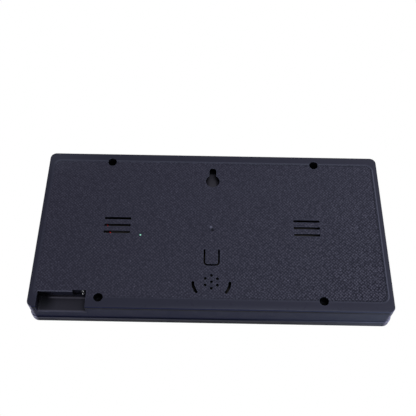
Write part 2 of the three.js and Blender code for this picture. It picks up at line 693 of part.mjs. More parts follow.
// Band that makes the four side walls, clamped between the cover and the front frame
function caseBand() {
  const back = COVER_INNER_Y - SEAT_GAP;
  const front = LIP_BACK_Y + SEAT_GAP;
  const walls = slab(caseOutline(), front, back)
    .subtract(slab(caseOutline(WALL), front - OVERCUT, back + OVERCUT));
  const reach = POCKET_WALL + SEAT_GAP;
  const pocketGap = pocketBody(reach, back + OVERCUT, [-HALF_HEIGHT - OVERCUT, POCKET_TOP_Z]);
  const topWall = [HALF_HEIGHT - WALL - OVERCUT, HALF_HEIGHT + OVERCUT];
  const buttonHoles = joined(BUTTON_XS.map((x) =>
    box(span(x, BUTTON_WIDTH + 2 * SLIDE_GAP), span(BUTTON_Y, BUTTON_THICKNESS + 2 * SLIDE_GAP), topWall)));
  return walls.subtract(pocketGap).subtract(buttonHoles);
}

// Front frame: bezel lip, lens seat, flange behind the lens, and the bosses for all screws
function frontFrame() {
  const outline = roundedOutline(CASE_WIDTH + 2 * LIP_PROUD, CASE_HEIGHT + 2 * LIP_PROUD,
    CASE_CORNER + LIP_PROUD);
  const loose = softSlab(outline, FRONT_Y, LIP_BACK_Y + LIP_ROUND, LIP_ROUND, LIP_STEPS);
  const behind = box(span(0, 2 * CASE_WIDTH), [LIP_BACK_Y, LIP_BACK_Y + LIP_ROUND + OVERCUT],
    span(0, 2 * CASE_HEIGHT));
  const lensSeat = slab(lensOutline(SEAT_GAP), FRONT_Y - OVERCUT, FLANGE_FRONT_Y);
  const inner = caseOutline(WALL + SEAT_GAP + RIB_THICKNESS);
  const cavity = slab(inner, FLANGE_BACK_Y, LIP_BACK_Y + OVERCUT);
  const window = slab(roundedOutline(WINDOW_WIDTH, WINDOW_HEIGHT, WINDOW_CORNER),
    FRONT_Y, FLANGE_BACK_Y + OVERCUT);
  return loose.subtract(behind).subtract(lensSeat).subtract(cavity).subtract(window)
    .add(locatingRib(LIP_BACK_Y - MERGE, LIP_BACK_Y + RIB_HEIGHT))
    .add(frameBosses())
    .subtract(framePilotHoles());
}

function frameBosses() {
  const root = FLANGE_BACK_Y - MERGE;
  return joined([
    ...CASE_SCREW_SPOTS.map(([x, z]) =>
      rodY(CASE_BOSS_RADIUS, root, POST_END_Y - SEAT_GAP, x, z, SMALL_SIDES)),
    ...BOARD_SCREW_SPOTS.map(([x, z]) =>
      rodY(BOARD_BOSS_RADIUS, root, BOARD_FRONT_Y - SEAT_GAP, x, z, SMALL_SIDES)),
  ]);
}

function framePilotHoles() {
  const caseTip = -COUNTERBORE_DEPTH + SEAT_GAP - CASE_SCREW_LENGTH - SEAT_GAP;
  const boardTip = PARTS_Y - BOARD_SCREW_LENGTH - SEAT_GAP;
  return joined([
    ...CASE_SCREW_SPOTS.map(([x, z]) =>
      rodY(CASE_SCREW_RADIUS + SLIDE_GAP, caseTip, 0, x, z, SMALL_SIDES)),
    ...BOARD_SCREW_SPOTS.map(([x, z]) =>
      rodY(BOARD_SCREW_RADIUS + SLIDE_GAP, boardTip, 0, x, z, SMALL_SIDES)),
  ]);
}

function lensOutline(grow = 0) {
  const width = CASE_WIDTH - 2 * BEZEL_BORDER + 2 * grow;
  const height = CASE_HEIGHT - 2 * BEZEL_BORDER + 2 * grow;
  return roundedOutline(width, height, LENS_CORNER + grow);
}

// Segments of the four digits, each a bar with pointed ends, and the two dots of the colon
function digitSegments(middleX, width, height) {
  const [acrossX, acrossZ] = [(width - STROKE) / 2, (height - STROKE) / 2];
  const level = [1, 0, -1].map((row) =>
    ({ x: middleX, z: row * acrossZ, length: 2 * acrossX - SEGMENT_GAP, upright: false }));
  const upright = [1, -1].flatMap((side) => [1, -1].map((row) =>
    ({ x: middleX + side * acrossX, z: (row * acrossZ) / 2, length: acrossZ - SEGMENT_GAP, upright: true })));
  return [...level, ...upright];
}

const DIGIT_PITCH = (WINDOW_WIDTH - 2 * DIGIT_SIDE_MARGIN - COLON_SPACE) / DIGIT_COUNT;
const DIGIT_XS = Array.from({ length: DIGIT_COUNT }, (_, i) => {
  const place = i - (DIGIT_COUNT - 1) / 2;
  return place * DIGIT_PITCH + (Math.sign(place) * COLON_SPACE) / 2;
});
const SEGMENTS = DIGIT_XS.flatMap((x) =>
  digitSegments(x, DIGIT_PITCH - DIGIT_SPACING, WINDOW_HEIGHT - 2 * DIGIT_END_MARGIN));
const COLON_ZS = [COLON_OFFSET, -COLON_OFFSET];

function segmentOutline({ x, z, length, upright }) {
  const [tip, shoulder, side] = [length / 2, (length - STROKE) / 2, STROKE / 2];
  const corners = [[tip, 0], [shoulder, side], [-shoulder, side], [-tip, 0], [-shoulder, -side],
    [shoulder, -side]];
  return new THREE.Shape(corners.map(([along, across]) => (upright
    ? new THREE.Vector2(x - across, z + along)
    : new THREE.Vector2(x + along, z + across))));
}

function displayOpenings(front, back) {
  return joined([
    ...SEGMENTS.map((segment) => slab(segmentOutline(segment), front - OVERCUT, back + OVERCUT)),
    ...COLON_ZS.map((z) => rodY(COLON_RADIUS, front - OVERCUT, back + OVERCUT, 0, z, HOLE_SIDES)),
  ]);
}

function stackPlate(front, back) {
  return slab(roundedOutline(STACK_WIDTH, STACK_HEIGHT, STACK_CORNER), front, back, SMALL_CORNER_STEPS);
}

function ledSpots() {
  const places = Array.from({ length: LEDS_PER_SEGMENT }, (_, i) => i - (LEDS_PER_SEGMENT - 1) / 2);
  const onSegments = SEGMENTS.flatMap(({ x, z, length, upright }) => places.map((place) => {
    const along = (place * length) / (LEDS_PER_SEGMENT + 1);
    return { x: upright ? x : x + along, z: upright ? z + along : z, upright };
  }));
  return [...onSegments, ...COLON_ZS.map((z) => ({ x: 0, z, upright: false }))];
}

function ledBoard() {
  const width = 2 * (BOARD_SCREW_X + BOARD_EDGE);
  const outline = roundedOutline(width, STACK_HEIGHT, STACK_CORNER);
  const board = slab(outline, BOARD_FRONT_Y, BOARD_BACK_Y, SMALL_CORNER_STEPS);
  const leds = ledSpots().map(({ x, z, upright }) => {
    const [wide, high] = upright ? [LED_WIDTH, LED_LENGTH] : [LED_LENGTH, LED_WIDTH];
    return box(span(x, wide), [BOARD_FRONT_Y - LED_HEIGHT, BOARD_FRONT_Y + MERGE], span(z, high));
  });
  const holes = BOARD_SCREW_SPOTS.map(([x, z]) =>
    rodY(BOARD_SCREW_RADIUS + SLIDE_GAP, BOARD_FRONT_Y - OVERCUT, BOARD_BACK_Y + OVERCUT, x, z, SMALL_SIDES));
  return board.add(joined(leds)).subtract(joined(holes));
}

// Screws stand with their head's underside at y = 0 and point to -Y
function screw(radius, length, headRadius, headHeight) {
  const slotWidth = headRadius * CROSS_WIDTH_SHARE;
  const slotReach = headRadius * CROSS_LENGTH_SHARE;
  const slotY = [headHeight / 2, headHeight + OVERCUT];
  const cross = box(span(0, slotReach), slotY, span(0, slotWidth))
    .add(box(span(0, slotWidth), slotY, span(0, slotReach)));
  return rodY(headRadius, 0, headHeight, 0, 0, SMALL_SIDES)
    .add(rodY(radius, -length, MERGE, 0, 0, SMALL_SIDES))
    .subtract(cross);
}

// Press tab, flush with the textured field
function pressTab() {
  const tongue = slab(tabOutline(0, SEAT_GAP), COVER_INNER_Y, -FIELD_DEPTH);
  const tipY = PARTS_Y + SWITCH_HEIGHT + PLUNGER_PROUD + SEAT_GAP;
  return tongue.add(rodY(TAB_PUSHER_RADIUS, tipY, COVER_INNER_Y + MERGE, 0, PUSHER_Z, SMALL_SIDES));
}

// Push switch with its foot at z = 0 and its plunger above
function switchBody() {
  const wellDepth = PLUNGER_SUNK + PLUNGER_ROOM;
  const side = span(0, SWITCH_SIDE);
  return box(side, side, [0, SWITCH_HEIGHT])
    .subtract(rodZ(PLUNGER_RADIUS + SLIDE_GAP, SWITCH_HEIGHT - wellDepth, SWITCH_HEIGHT + OVERCUT));
}

function switchPlunger() {
  return rodZ(PLUNGER_RADIUS, SWITCH_HEIGHT - PLUNGER_SUNK, SWITCH_HEIGHT + PLUNGER_PROUD);
}

// Set button, with z = 0 on the outside of the top wall
function setButton() {
  const flangeTop = -WALL - SEAT_GAP;
  const cap = new THREE.ExtrudeGeometry(
    roundedOutline(BUTTON_WIDTH, BUTTON_THICKNESS, BUTTON_CORNER), {
      depth: BUTTON_PROUD - flangeTop,
      curveSegments: SMALL_CORNER_STEPS,
      bevelThickness: BUTTON_EDGE_ROUND,
      bevelSize: BUTTON_EDGE_ROUND,
      bevelOffset: -BUTTON_EDGE_ROUND,
      bevelSegments: BUTTON_EDGE_STEPS,
    });
  cap.translate(0, 0, flangeTop - BUTTON_EDGE_ROUND);
  const reach = 2 * BUTTON_FLANGE_REACH;
  const flange = box(span(0, BUTTON_WIDTH + reach), span(0, BUTTON_THICKNESS + reach),
    [flangeTop - BUTTON_FLANGE, flangeTop]);
  const stem = rodZ(BUTTON_STEM_RADIUS, flangeTop - BUTTON_FLANGE - BUTTON_STEM_LENGTH, flangeTop);
  return solid(cap).add(flange).add(stem);
}

function buttonBoard() {
  const z = [BUTTON_BOARD_TOP_Z - BUTTON_BOARD_THICKNESS, BUTTON_BOARD_TOP_Z];
  return box(span(BUTTON_MIDDLE_X, BUTTON_BOARD_LENGTH), span(BUTTON_Y, BUTTON_BOARD_WIDTH), z);
}

// Speaker, its front towards the cover
const SPEAKER_FRONT_Y = COVER_INNER_Y - SEAT_GAP;

function speakerBasket() {
  const rimBack = SPEAKER_FRONT_Y - SPEAKER_RIM;
  const bottom = SPEAKER_FRONT_Y - SPEAKER_DEPTH;
  const inside = SPEAKER_RADIUS - SPEAKER_RIM_WIDTH;
  return turned([
    [0, bottom],
    [SPEAKER_BACK_RADIUS, bottom],
    [inside + SPEAKER_SHEET, rimBack],
    [SPEAKER_RADIUS, rimBack],
    [SPEAKER_RADIUS, SPEAKER_FRONT_Y],
    [inside, SPEAKER_FRONT_Y],
    [inside, rimBack],
    [SPEAKER_BACK_RADIUS - SPEAKER_SHEET, bottom + SPEAKER_SHEET],
    [0, bottom + SPEAKER_SHEET],
  ], 0, SPEAKER_Z);
}

function speakerCone() {
  const edge = SPEAKER_RADIUS - SPEAKER_RIM_WIDTH - SEAT_GAP;
  const top = SPEAKER_FRONT_Y - CONE_THICKNESS;
  const neck = top - CONE_DEPTH;
  return turned([
    [0, neck + CONE_CAP_RISE - CONE_THICKNESS],
    [CONE_NECK_RADIUS, neck - CONE_THICKNESS],
    [edge, top - CONE_THICKNESS],
    [edge, top],
    [CONE_NECK_RADIUS, neck],
    [0, neck + CONE_CAP_RISE],
  ], 0, SPEAKER_Z);
}

function speakerMagnet() {
  const back = SPEAKER_FRONT_Y - SPEAKER_DEPTH - SEAT_GAP;
  return rodY(MAGNET_RADIUS, back - MAGNET_HEIGHT, back, 0, SPEAKER_Z);
}

// Supply socket: a folded steel shell round a tongue, its mouth down in the pocket's recess
function shellBlock(grow, bottom, top) {
  const outline = roundedOutline(SHELL_SHORT + 2 * grow, SHELL_LONG + 2 * grow, SHELL_CORNER + grow);
  const geometry = new THREE.ExtrudeGeometry(outline, {
    depth: top - bottom, bevelEnabled: false, curveSegments: SMALL_CORNER_STEPS,
  });
  geometry.translate(SOCKET_X, SOCKET_Y, bottom);
  return solid(geometry);
}

function socketShell() {
  const top = SOCKET_MOUTH_Z + SHELL_LENGTH;
  return shellBlock(0, SOCKET_MOUTH_Z, top)
    .subtract(shellBlock(-SHELL_SHEET, SOCKET_MOUTH_Z - OVERCUT, top + OVERCUT));
}

function socketTongue() {
  const top = SOCKET_MOUTH_Z + SHELL_LENGTH;
  const base = shellBlock(-SHELL_SHEET - TONGUE_GAP, top - TONGUE_BASE, top);
  return base.add(box(span(SOCKET_X, TONGUE_THICKNESS), span(SOCKET_Y, TONGUE_WIDTH),
    [top - TONGUE_BASE - TONGUE_LENGTH, top - TONGUE_BASE + SEAT_GAP]));
}

function powerBoard() {
  return box([POWER_BOARD_FACE_X - POWER_BOARD_THICKNESS, POWER_BOARD_FACE_X],
    span(SOCKET_Y, POWER_BOARD_WIDTH), [POWER_BOARD_Z, POWER_BOARD_Z + POWER_BOARD_LENGTH]);
}

// Chip with a row of flat leads along each long side
function chip(length, width, height, leadCount, x, z) {
  const pitch = length / (leadCount + 1);
  const leadY = [PARTS_Y, PARTS_Y + height / 2];
  const leads = Array.from({ length: leadCount }, (_, i) =>
    box(span(x - length / 2 + (i + 1) * pitch, pitch / 2), leadY, span(z, width + 2 * CHIP_LEAD)));
  return box(span(x, length), [PARTS_Y, PARTS_Y + height], span(z, width)).add(joined(leads));
}

function connector(x, z) {
  return box(span(x, CONNECTOR_LENGTH), [PARTS_Y, PARTS_Y + CONNECTOR_HEIGHT], span(z, CONNECTOR_WIDTH));
}

function crystal() {
  const geometry = new THREE.CylinderGeometry(CRYSTAL_RADIUS, CRYSTAL_RADIUS, CRYSTAL_LENGTH, SMALL_SIDES);
  geometry.rotateX(Math.PI / 2);
  geometry.translate(CRYSTAL_X, PARTS_Y + CRYSTAL_RADIUS, CRYSTAL_Z);
  return solid(geometry);
}

function cellHolder() {
  const outer = CELL_RADIUS + SLIDE_GAP + CELL_HOLDER_WALL;
  const top = PARTS_Y + CELL_HOLDER_FLOOR + CELL_THICKNESS;
  return rodY(outer, PARTS_Y, top, CELL_X, CELL_Z)
    .subtract(rodY(CELL_RADIUS + SLIDE_GAP, PARTS_Y + CELL_HOLDER_FLOOR, top + OVERCUT, CELL_X, CELL_Z));
}

function backupCell() {
  const bottom = PARTS_Y + CELL_HOLDER_FLOOR + SEAT_GAP;
  return rodY(CELL_RADIUS, bottom, bottom + CELL_THICKNESS, CELL_X, CELL_Z);
}

// Strip over the cell, with two legs down beside the holder
function cellClip() {
  const outer = CELL_RADIUS + SLIDE_GAP + CELL_HOLDER_WALL + SEAT_GAP;
  const under = PARTS_Y + CELL_HOLDER_FLOOR + CELL_THICKNESS + 2 * SEAT_GAP;
  const width = span(CELL_Z, CELL_CLIP_WIDTH);
  const strip = box(span(CELL_X, 2 * (outer + CELL_CLIP_SHEET)), [under, under + CELL_CLIP_SHEET], width);
  const legs = [-1, 1].map((side) => box(
    span(CELL_X + side * (outer + CELL_CLIP_SHEET / 2), CELL_CLIP_SHEET), [PARTS_Y, under + CELL_CLIP_SHEET],
    width));
  return strip.add(joined(legs));
}

function thermistor() {
  const bead = new THREE.SphereGeometry(BEAD_RADIUS, SMALL_SIDES, WIRE_SIDES);
  bead.translate(THERMISTOR_X, -COVER_THICKNESS / 2, THERMISTOR_Z);
  const leads = [-1, 1].map((side) => rodY(LEAD_RADIUS, PARTS_Y, -COVER_THICKNESS / 2,
    THERMISTOR_X + side * LEAD_SPREAD, THERMISTOR_Z, WIRE_SIDES));
  return solid(bead).add(joined(leads));
}

// Wires: each follows a smooth curve through points chosen by hand
function alongPath(outline, points, steps) {
  const path = new THREE.CatmullRomCurve3(points.map((point) => new THREE.Vector3(...point)));
  return solid(new THREE.ExtrudeGeometry(outline, { steps, bevelEnabled: false, extrudePath: path }));
}

function wire(points) {
  const corners = Array.from({ length: WIRE_SIDES }, (_, i) => {
    const angle = (i * 2 * Math.PI) / WIRE_SIDES;
    return new THREE.Vector2(WIRE_RADIUS * Math.cos(angle), WIRE_RADIUS * Math.sin(angle));
  });
  return alongPath(new THREE.Shape(corners), points, WIRE_STEPS);
}

// Where a wire or cable meets a connector, on its lower side (-1) or its upper side (1)
function plugPoint(x, connectorZ, side) {
  const z = connectorZ + side * (CONNECTOR_WIDTH / 2 + SEAT_GAP);
  return [x, PARTS_Y + CONNECTOR_HEIGHT / 2, z];
}

// From the power board up past the lowest vent, and back to the connector on the display board
function supplyWire(offset) {
  const startX = POWER_BOARD_FACE_X + SEAT_GAP + WIRE_RADIUS;
  const startY = SOCKET_Y - (WIRE_SPACING + offset) / 2;
  const boardTop = POWER_BOARD_Z + POWER_BOARD_LENGTH;
  const passX = VENT_OFFSET + VENT_LENGTH / 3 + offset;
  const passY = COVER_INNER_Y - WIRE_PASS_DEPTH;
  const [plugX, plugY, plugZ] = plugPoint(SUPPLY_CONNECTOR_X + offset / 2, SUPPLY_CONNECTOR_Z, -1);
  return wire([
    [startX, startY, boardTop - WIRE_LEAD],
    [startX, startY, boardTop + WIRE_LEAD],
    [(startX + passX + offset) / 2, (startY + passY) / 2, boardTop + WIRE_BEND],
    [passX, passY, -VENT_PITCH - WIRE_BEND],
    [passX, passY, -VENT_PITCH],
    [(passX + plugX + offset) / 2, (passY + plugY) / 2, plugZ - WIRE_BEND],
    [plugX, plugY, plugZ - WIRE_LEAD],
    [plugX, plugY, plugZ],
  ]);
}

// From under the speaker's rim to its connector
function speakerWire(offset) {
  const angle = THREE.MathUtils.degToRad(SPEAKER_WIRE_DEGREES) + offset / SPEAKER_RADIUS;
  const y = SPEAKER_FRONT_Y - SPEAKER_RIM - SEAT_GAP - WIRE_RADIUS;
  const away = (radius) => [radius * Math.cos(angle), y, SPEAKER_Z + radius * Math.sin(angle)];
  const [plugX, plugY, plugZ] = plugPoint(SPEAKER_CONNECTOR_X - offset, SPEAKER_CONNECTOR_Z, -1);
  return wire([
    away(SPEAKER_RADIUS - WIRE_RADIUS),
    away(SPEAKER_RADIUS + CLIP_WALL + WIRE_LEAD),
    [plugX, plugY, plugZ - WIRE_BEND],
    [plugX, plugY, plugZ - WIRE_LEAD],
    [plugX, plugY, plugZ],
  ]);
}

// Flat cable from under the button board to its connector
function buttonCable() {
  const section = new THREE.Shape([[1, 1], [-1, 1], [-1, -1], [1, -1]].map(([a, b]) =>
    new THREE.Vector2((a * RIBBON_WIDTH) / 2, (b * RIBBON_THICKNESS) / 2)));
  const top = BUTTON_BOARD_TOP_Z - BUTTON_BOARD_THICKNESS - SEAT_GAP;
  const [plugX, plugY, plugZ] = plugPoint(BUTTON_MIDDLE_X, BUTTON_CONNECTOR_Z, 1);
  return alongPath(section, [
    [plugX, BUTTON_Y, top],
    [plugX, BUTTON_Y, top - WIRE_LEAD],
    [plugX, plugY, plugZ + WIRE_LEAD],
    [plugX, plugY, plugZ],
  ], RIBBON_STEPS);
}

// Case
add('rear_cover', rearCover(), casePlastic);
add('case_band', caseBand(), casePlastic);
add('front_frame', frontFrame(), casePlastic);
add('press_tab', pressTab(), casePlastic);

// Display stack, from the front
add('lens_panel', slab(lensOutline(), LENS_FRONT_Y, LENS_BACK_Y), lensPlastic);
add('segment_mask', stackPlate(MASK_FRONT_Y, MASK_BACK_Y)
  .subtract(displayOpenings(MASK_FRONT_Y, MASK_BACK_Y)), maskPlastic);
add('diffuser_sheet', stackPlate(DIFFUSER_FRONT_Y, DIFFUSER_BACK_Y), milkyPlastic);
add('reflector_block', stackPlate(REFLECTOR_FRONT_Y, REFLECTOR_BACK_Y)
  .subtract(displayOpenings(REFLECTOR_FRONT_Y, REFLECTOR_BACK_Y)), whitePlastic);
add('led_board', ledBoard(), phenolic);

// Screws
const caseScrew = screw(CASE_SCREW_RADIUS, CASE_SCREW_LENGTH, CASE_HEAD_RADIUS, CASE_HEAD_HEIGHT);
CASE_SCREW_SPOTS.forEach(([x, z], i) =>
  add(`case_screw_${i + 1}`, caseScrew, darkSteel, [x, -COUNTERBORE_DEPTH + SEAT_GAP, z]));
const boardScrew = screw(BOARD_SCREW_RADIUS, BOARD_SCREW_LENGTH, BOARD_HEAD_RADIUS, BOARD_HEAD_HEIGHT);
BOARD_SCREW_SPOTS.forEach(([x, z], i) => add(`board_screw_${i + 1}`, boardScrew, steel, [x, PARTS_Y, z]));

// Switch under the press tab, turned to face the wall
const resetFoot = [0, PARTS_Y, PUSHER_Z];
add('reset_switch', switchBody(), blackPlastic, resetFoot).rotation.x = -Math.PI / 2;
add('reset_plunger', switchPlunger(), blackPlastic, resetFoot).rotation.x = -Math.PI / 2;

// Set buttons with their switches and board
BUTTON_XS.forEach((x, i) => {
  const foot = [x, BUTTON_Y, BUTTON_BOARD_TOP_Z + SEAT_GAP];
  add(`set_button_${i + 1}`, setButton(), blackPlastic, [x, BUTTON_Y, HALF_HEIGHT]);
  add(`button_switch_${i + 1}`, switchBody(), blackPlastic, foot);
  add(`button_plunger_${i + 1}`, switchPlunger(), ivoryPlastic, foot);
});
add('button_board', buttonBoard(), phenolic);
add('button_cable', buttonCable(), greyRibbon);
add('button_connector', connector(BUTTON_MIDDLE_X, BUTTON_CONNECTOR_Z), ivoryPlastic);

// Speaker
add('speaker_basket', speakerBasket(), steel);
add('speaker_cone', speakerCone(), paper);
add('speaker_magnet', speakerMagnet(), ferrite);
add('speaker_wire_red', speakerWire(WIRE_SPACING / 2), redWire);
add('speaker_wire_black', speakerWire(-WIRE_SPACING / 2), blackWire);
add('speaker_connector', connector(SPEAKER_CONNECTOR_X, SPEAKER_CONNECTOR_Z), ivoryPlastic);

// Supply
add('power_board', powerBoard(), phenolic);
add('socket_shell', socketShell(), steel);
add('socket_tongue', socketTongue(), blackPlastic);
add('supply_wire_red', supplyWire(-WIRE_SPACING), redWire);
add('supply_wire_black', supplyWire(WIRE_SPACING), blackWire);
add('supply_connector', connector(SUPPLY_CONNECTOR_X, SUPPLY_CONNECTOR_Z), ivoryPlastic);
add('smoothing_capacitor', rodY(CAPACITOR_RADIUS, PARTS_Y, PARTS_Y + CAPACITOR_HEIGHT,
  CAPACITOR_X, CAPACITOR_Z), sleeve);

// Electronics on the back of the display board
add('controller_chip', chip(CHIP_LENGTH, CHIP_WIDTH, CHIP_HEIGHT, CHIP_LEAD_COUNT, CHIP_X, CHIP_Z),
  blackPlastic);
[1, -1].forEach((side, i) => add(`driver_chip_${i + 1}`,
  chip(DRIVER_LENGTH, DRIVER_WIDTH, DRIVER_HEIGHT, DRIVER_LEAD_COUNT, side * DRIVER_X, -DRIVER_Z),
  blackPlastic));
add('crystal', crystal(), steel);
add('cell_holder', cellHolder(), blackPlastic);
add('backup_cell', backupCell(), steel);
add('cell_clip', cellClip(), steel);
add('thermistor', thermistor(), glassBead);

export default clock;
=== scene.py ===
"""Looks of the digital wall clock: materials, soft edges, studio and camera. Metres, in the CAD's frame."""

import json
import math

import bpy
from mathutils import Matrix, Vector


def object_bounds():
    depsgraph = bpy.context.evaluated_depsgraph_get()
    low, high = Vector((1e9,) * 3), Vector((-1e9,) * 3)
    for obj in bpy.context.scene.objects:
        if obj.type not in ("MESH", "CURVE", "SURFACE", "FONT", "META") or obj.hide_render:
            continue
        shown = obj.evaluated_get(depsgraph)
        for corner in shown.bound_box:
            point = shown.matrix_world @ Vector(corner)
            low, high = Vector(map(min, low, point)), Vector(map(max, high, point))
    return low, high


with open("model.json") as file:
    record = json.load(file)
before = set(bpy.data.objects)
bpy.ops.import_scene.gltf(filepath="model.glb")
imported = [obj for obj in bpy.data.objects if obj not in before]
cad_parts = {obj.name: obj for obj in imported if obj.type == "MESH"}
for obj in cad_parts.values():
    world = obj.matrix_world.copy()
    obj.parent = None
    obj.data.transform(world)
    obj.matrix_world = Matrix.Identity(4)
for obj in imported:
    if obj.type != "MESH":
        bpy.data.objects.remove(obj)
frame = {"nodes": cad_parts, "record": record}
cad_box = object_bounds()


def node_box(name):
    """Lowest and highest corner of a CAD node."""
    corners = frame["nodes"][name].bound_box
    return [tuple(pick(corner[axis] for corner in corners) for axis in range(3)) for pick in (min, max)]


# Camera, fitted to the photograph's perspective: its turn in degrees, its lens and sensor in millimetres
CAMERA_PLACE = (0.0038, 0.6081, -0.4133)
CAMERA_TURN = (121.035, -0.901, 179.538)
CAMERA_LENS = 58.01
SENSOR = 36.0

# Outline of the case, and stretches over which its looks change, each from one place to another
COVER_LOW, COVER_HIGH = node_box("rear_cover")
ANY_DEPTH = 1.0
CASE_CENTRE = (0.0, 0.0, (COVER_LOW[2] + COVER_HIGH[2]) / 2)
CASE_HALF = (COVER_HIGH[0], ANY_DEPTH, (COVER_HIGH[2] - COVER_LOW[2]) / 2)
CASE_CORNER = 0.0065
CASE_BOTTOM = COVER_LOW[2]
CASE_FRONT = cad_box[0][1]
WALL_SKIN = 0.0006
# LEFT_TO_RIGHT is the stretch over which the painted light makes the case lighter towards the right
LEFT_TO_RIGHT = (0.15, -0.17)
TOP_TO_BOTTOM = (0.01, -0.15)
PALE_CORNER_X = (0.12, 0.165)
PALE_CORNER_Z = (-0.01, 0.01)
CORNER_ARC = (CASE_HALF[0] - CASE_BOTTOM - 0.0056, CASE_HALF[0] - CASE_BOTTOM - 0.0042)
UNDERSIDE = (CASE_BOTTOM + 0.0054, CASE_BOTTOM + 0.0014)
LOW_EDGE = (CASE_BOTTOM + 0.0074, CASE_BOTTOM + 0.0034)
FRONT_EDGE = (CASE_FRONT + 0.0001, CASE_FRONT + 0.0008)

# Textured field of the rear cover, with its brim (painted highlight) and foot (painted shade) as distance
# from its outline and half width
FIELD_CENTRE = (0.0, 0.0, -0.0705)
FIELD_HALF = (0.1742, ANY_DEPTH, 0.0811)
FIELD_CORNER = 0.007
FIELD_DEEPEST = -0.0012
FIELD_FADE = 0.0006
FIELD_TOP = FIELD_CENTRE[2] + FIELD_HALF[2]
FIELD_BOTTOM = FIELD_CENTRE[2] - FIELD_HALF[2]
FOOT = (-0.0007, 0.0013)
BRIM = (0.0008, 0.0008)
BRIM_TOP = (FIELD_TOP - 0.0066, FIELD_TOP - 0.0016)
BRIM_BOTTOM = (FIELD_BOTTOM - 0.0004, FIELD_BOTTOM + 0.0036)

# Gloss and grain of the case, and the two spots of painted highlight and painted shade on its gate mark as
# centre and radius
GLOSS_TINT = (0.72, 0.82, 1.0, 1.0)
GRAIN_PITCH = 0.0024
GRAIN_LOOSENESS = 0.38
GRAIN_TURN = math.radians(45)
PEBBLE_DEPTH = 0.0004
FINE_DEPTH = 0.00003
EDGE_ROUND = 0.00025
GATE_HIGHLIGHT = ((0.0010, 0.0, -0.0702), 0.0016)
GATE_SHADE = ((-0.0004, 0.0, -0.0734), 0.0022)

# Lines along the side walls, for painted shade and painted highlights, as place in y and half width
BAND_LOW, BAND_HIGH = node_box("case_band")
COVER_SEAM = (BAND_HIGH[1] - 0.0004, 0.0020)
LIP_SEAM = (BAND_LOW[1] + 0.0004, 0.0006)
LEDGE = (BAND_LOW[1] - 0.0003, 0.0004)
LIP_START = (LEDGE[0] + 0.0001, LEDGE[0])
FRONT_LINE = (LEDGE[0] - 0.0018, 0.0016)

# Blind floors of the keyhole and of the corner pocket, and the counterbores from the middle of the case,
# for their painted shade and highlights
DEEP = (-0.0135, -0.0095)
COVER_DEPTH = (DEEP[0], -0.003)
COVER_FADE = 0.0022
KEYHOLE_Z = (-0.0235, 0.002)
KEYHOLE_REACH = 0.0080
KEYHOLE_LIGHT = (0.004, -0.012)
POCKET_X = (0.1230, 0.1710)
POCKET_TOP = -0.1460
POCKET_START = (POCKET_TOP + 0.0004, POCKET_TOP)
POCKET_RIM = (POCKET_TOP + 0.0006, 0.0007)
POCKET_HEEL = (POCKET_TOP - 0.0016, 0.0010)
HEEL_END = (0.163, 0.158)
POCKET_END_X = (0.153, 0.163)
POCKET_END_Z = (CASE_BOTTOM + 0.0014, CASE_BOTTOM + 0.0094)
POCKET_LIP = (DEEP[1] - 0.0027, 0.0016)
POCKET_LIP_Z = (CASE_BOTTOM + 0.0019, CASE_BOTTOM + 0.0012)
SCREW_LOW, SCREW_HIGH = node_box("case_screw_1")
BORE_X = (SCREW_LOW[0] + SCREW_HIGH[0]) / 2
BORE_Z = (SCREW_LOW[2] + SCREW_HIGH[2]) / 2 - CASE_CENTRE[2]
BORE_REACH = 0.0075

# Other materials, the joined and the sharp parts of a mesh, and the floor's tone and glow
CORE_PITCH = 0.0012
TURNED = (9.0, 1.0, 1.0)
JOIN_REACH = 0.000002
SHARP_ANGLE = math.radians(32)
FLOOR_TONE = 0.86
FLOOR_GLOW = 0.4


# Camera, world, floor and lamps
def make_camera():
    data = bpy.data.cameras.new("photo_camera")
    data.sensor_width = SENSOR
    data.lens = CAMERA_LENS
    data.clip_start = 0.01
    data.clip_end = 50.0
    camera = bpy.data.objects.new("photo_camera", data)
    camera.location = CAMERA_PLACE
    camera.rotation_euler = [math.radians(a) for a in CAMERA_TURN]
    bpy.context.scene.collection.objects.link(camera)
    bpy.context.scene.camera = camera


def seen_directly(tree):
    """1 for the camera's rays and for mirrored and transmitted ones, 0 for rays that only light things."""
    path = tree.nodes.new("ShaderNodeLightPath")
    seen = path.outputs["Is Camera Ray"]
    for ray in ("Is Glossy Ray", "Is Transmission Ray"):
        more = tree.nodes.new("ShaderNodeMath")
        more.operation = "MAXIMUM"
        tree.links.new(seen, more.inputs[0])
        tree.links.new(path.outputs[ray], more.inputs[1])
        seen = more.outputs[0]
    return seen


def make_world(light, shown):
    """A plain grey sky for light and a white one for what looks at it."""
    world = bpy.data.worlds.new("studio")
    bpy.context.scene.world = world
    world.use_nodes = True
    tree = world.node_tree
    tree.nodes.clear()
    mix = tree.nodes.new("ShaderNodeMixShader")
    out = tree.nodes.new("ShaderNodeOutputWorld")
    link = tree.links.new
    link(seen_directly(tree), mix.inputs["Fac"])
    for socket, strength in zip(mix.inputs[1:], (light, shown)):
        sky = tree.nodes.new("ShaderNodeBackground")
        sky.inputs["Color"].default_value = (1, 1, 1, 1)
        sky.inputs["Strength"].default_value = strength
        link(sky.outputs[0], socket)
    link(mix.outputs[0], out.inputs["Surface"])


def make_lamp(name, place, size, power):
    data = bpy.data.lights.new(name, "AREA")
    data.shape = "SQUARE"
    data.size = size
    data.energy = power
    lamp = bpy.data.objects.new(name, data)
    lamp.location = place
    aim = Vector(FIELD_CENTRE) - lamp.location
    lamp.rotation_euler = aim.to_track_quat("-Z", "Y").to_euler()
    bpy.context.scene.collection.objects.link(lamp)


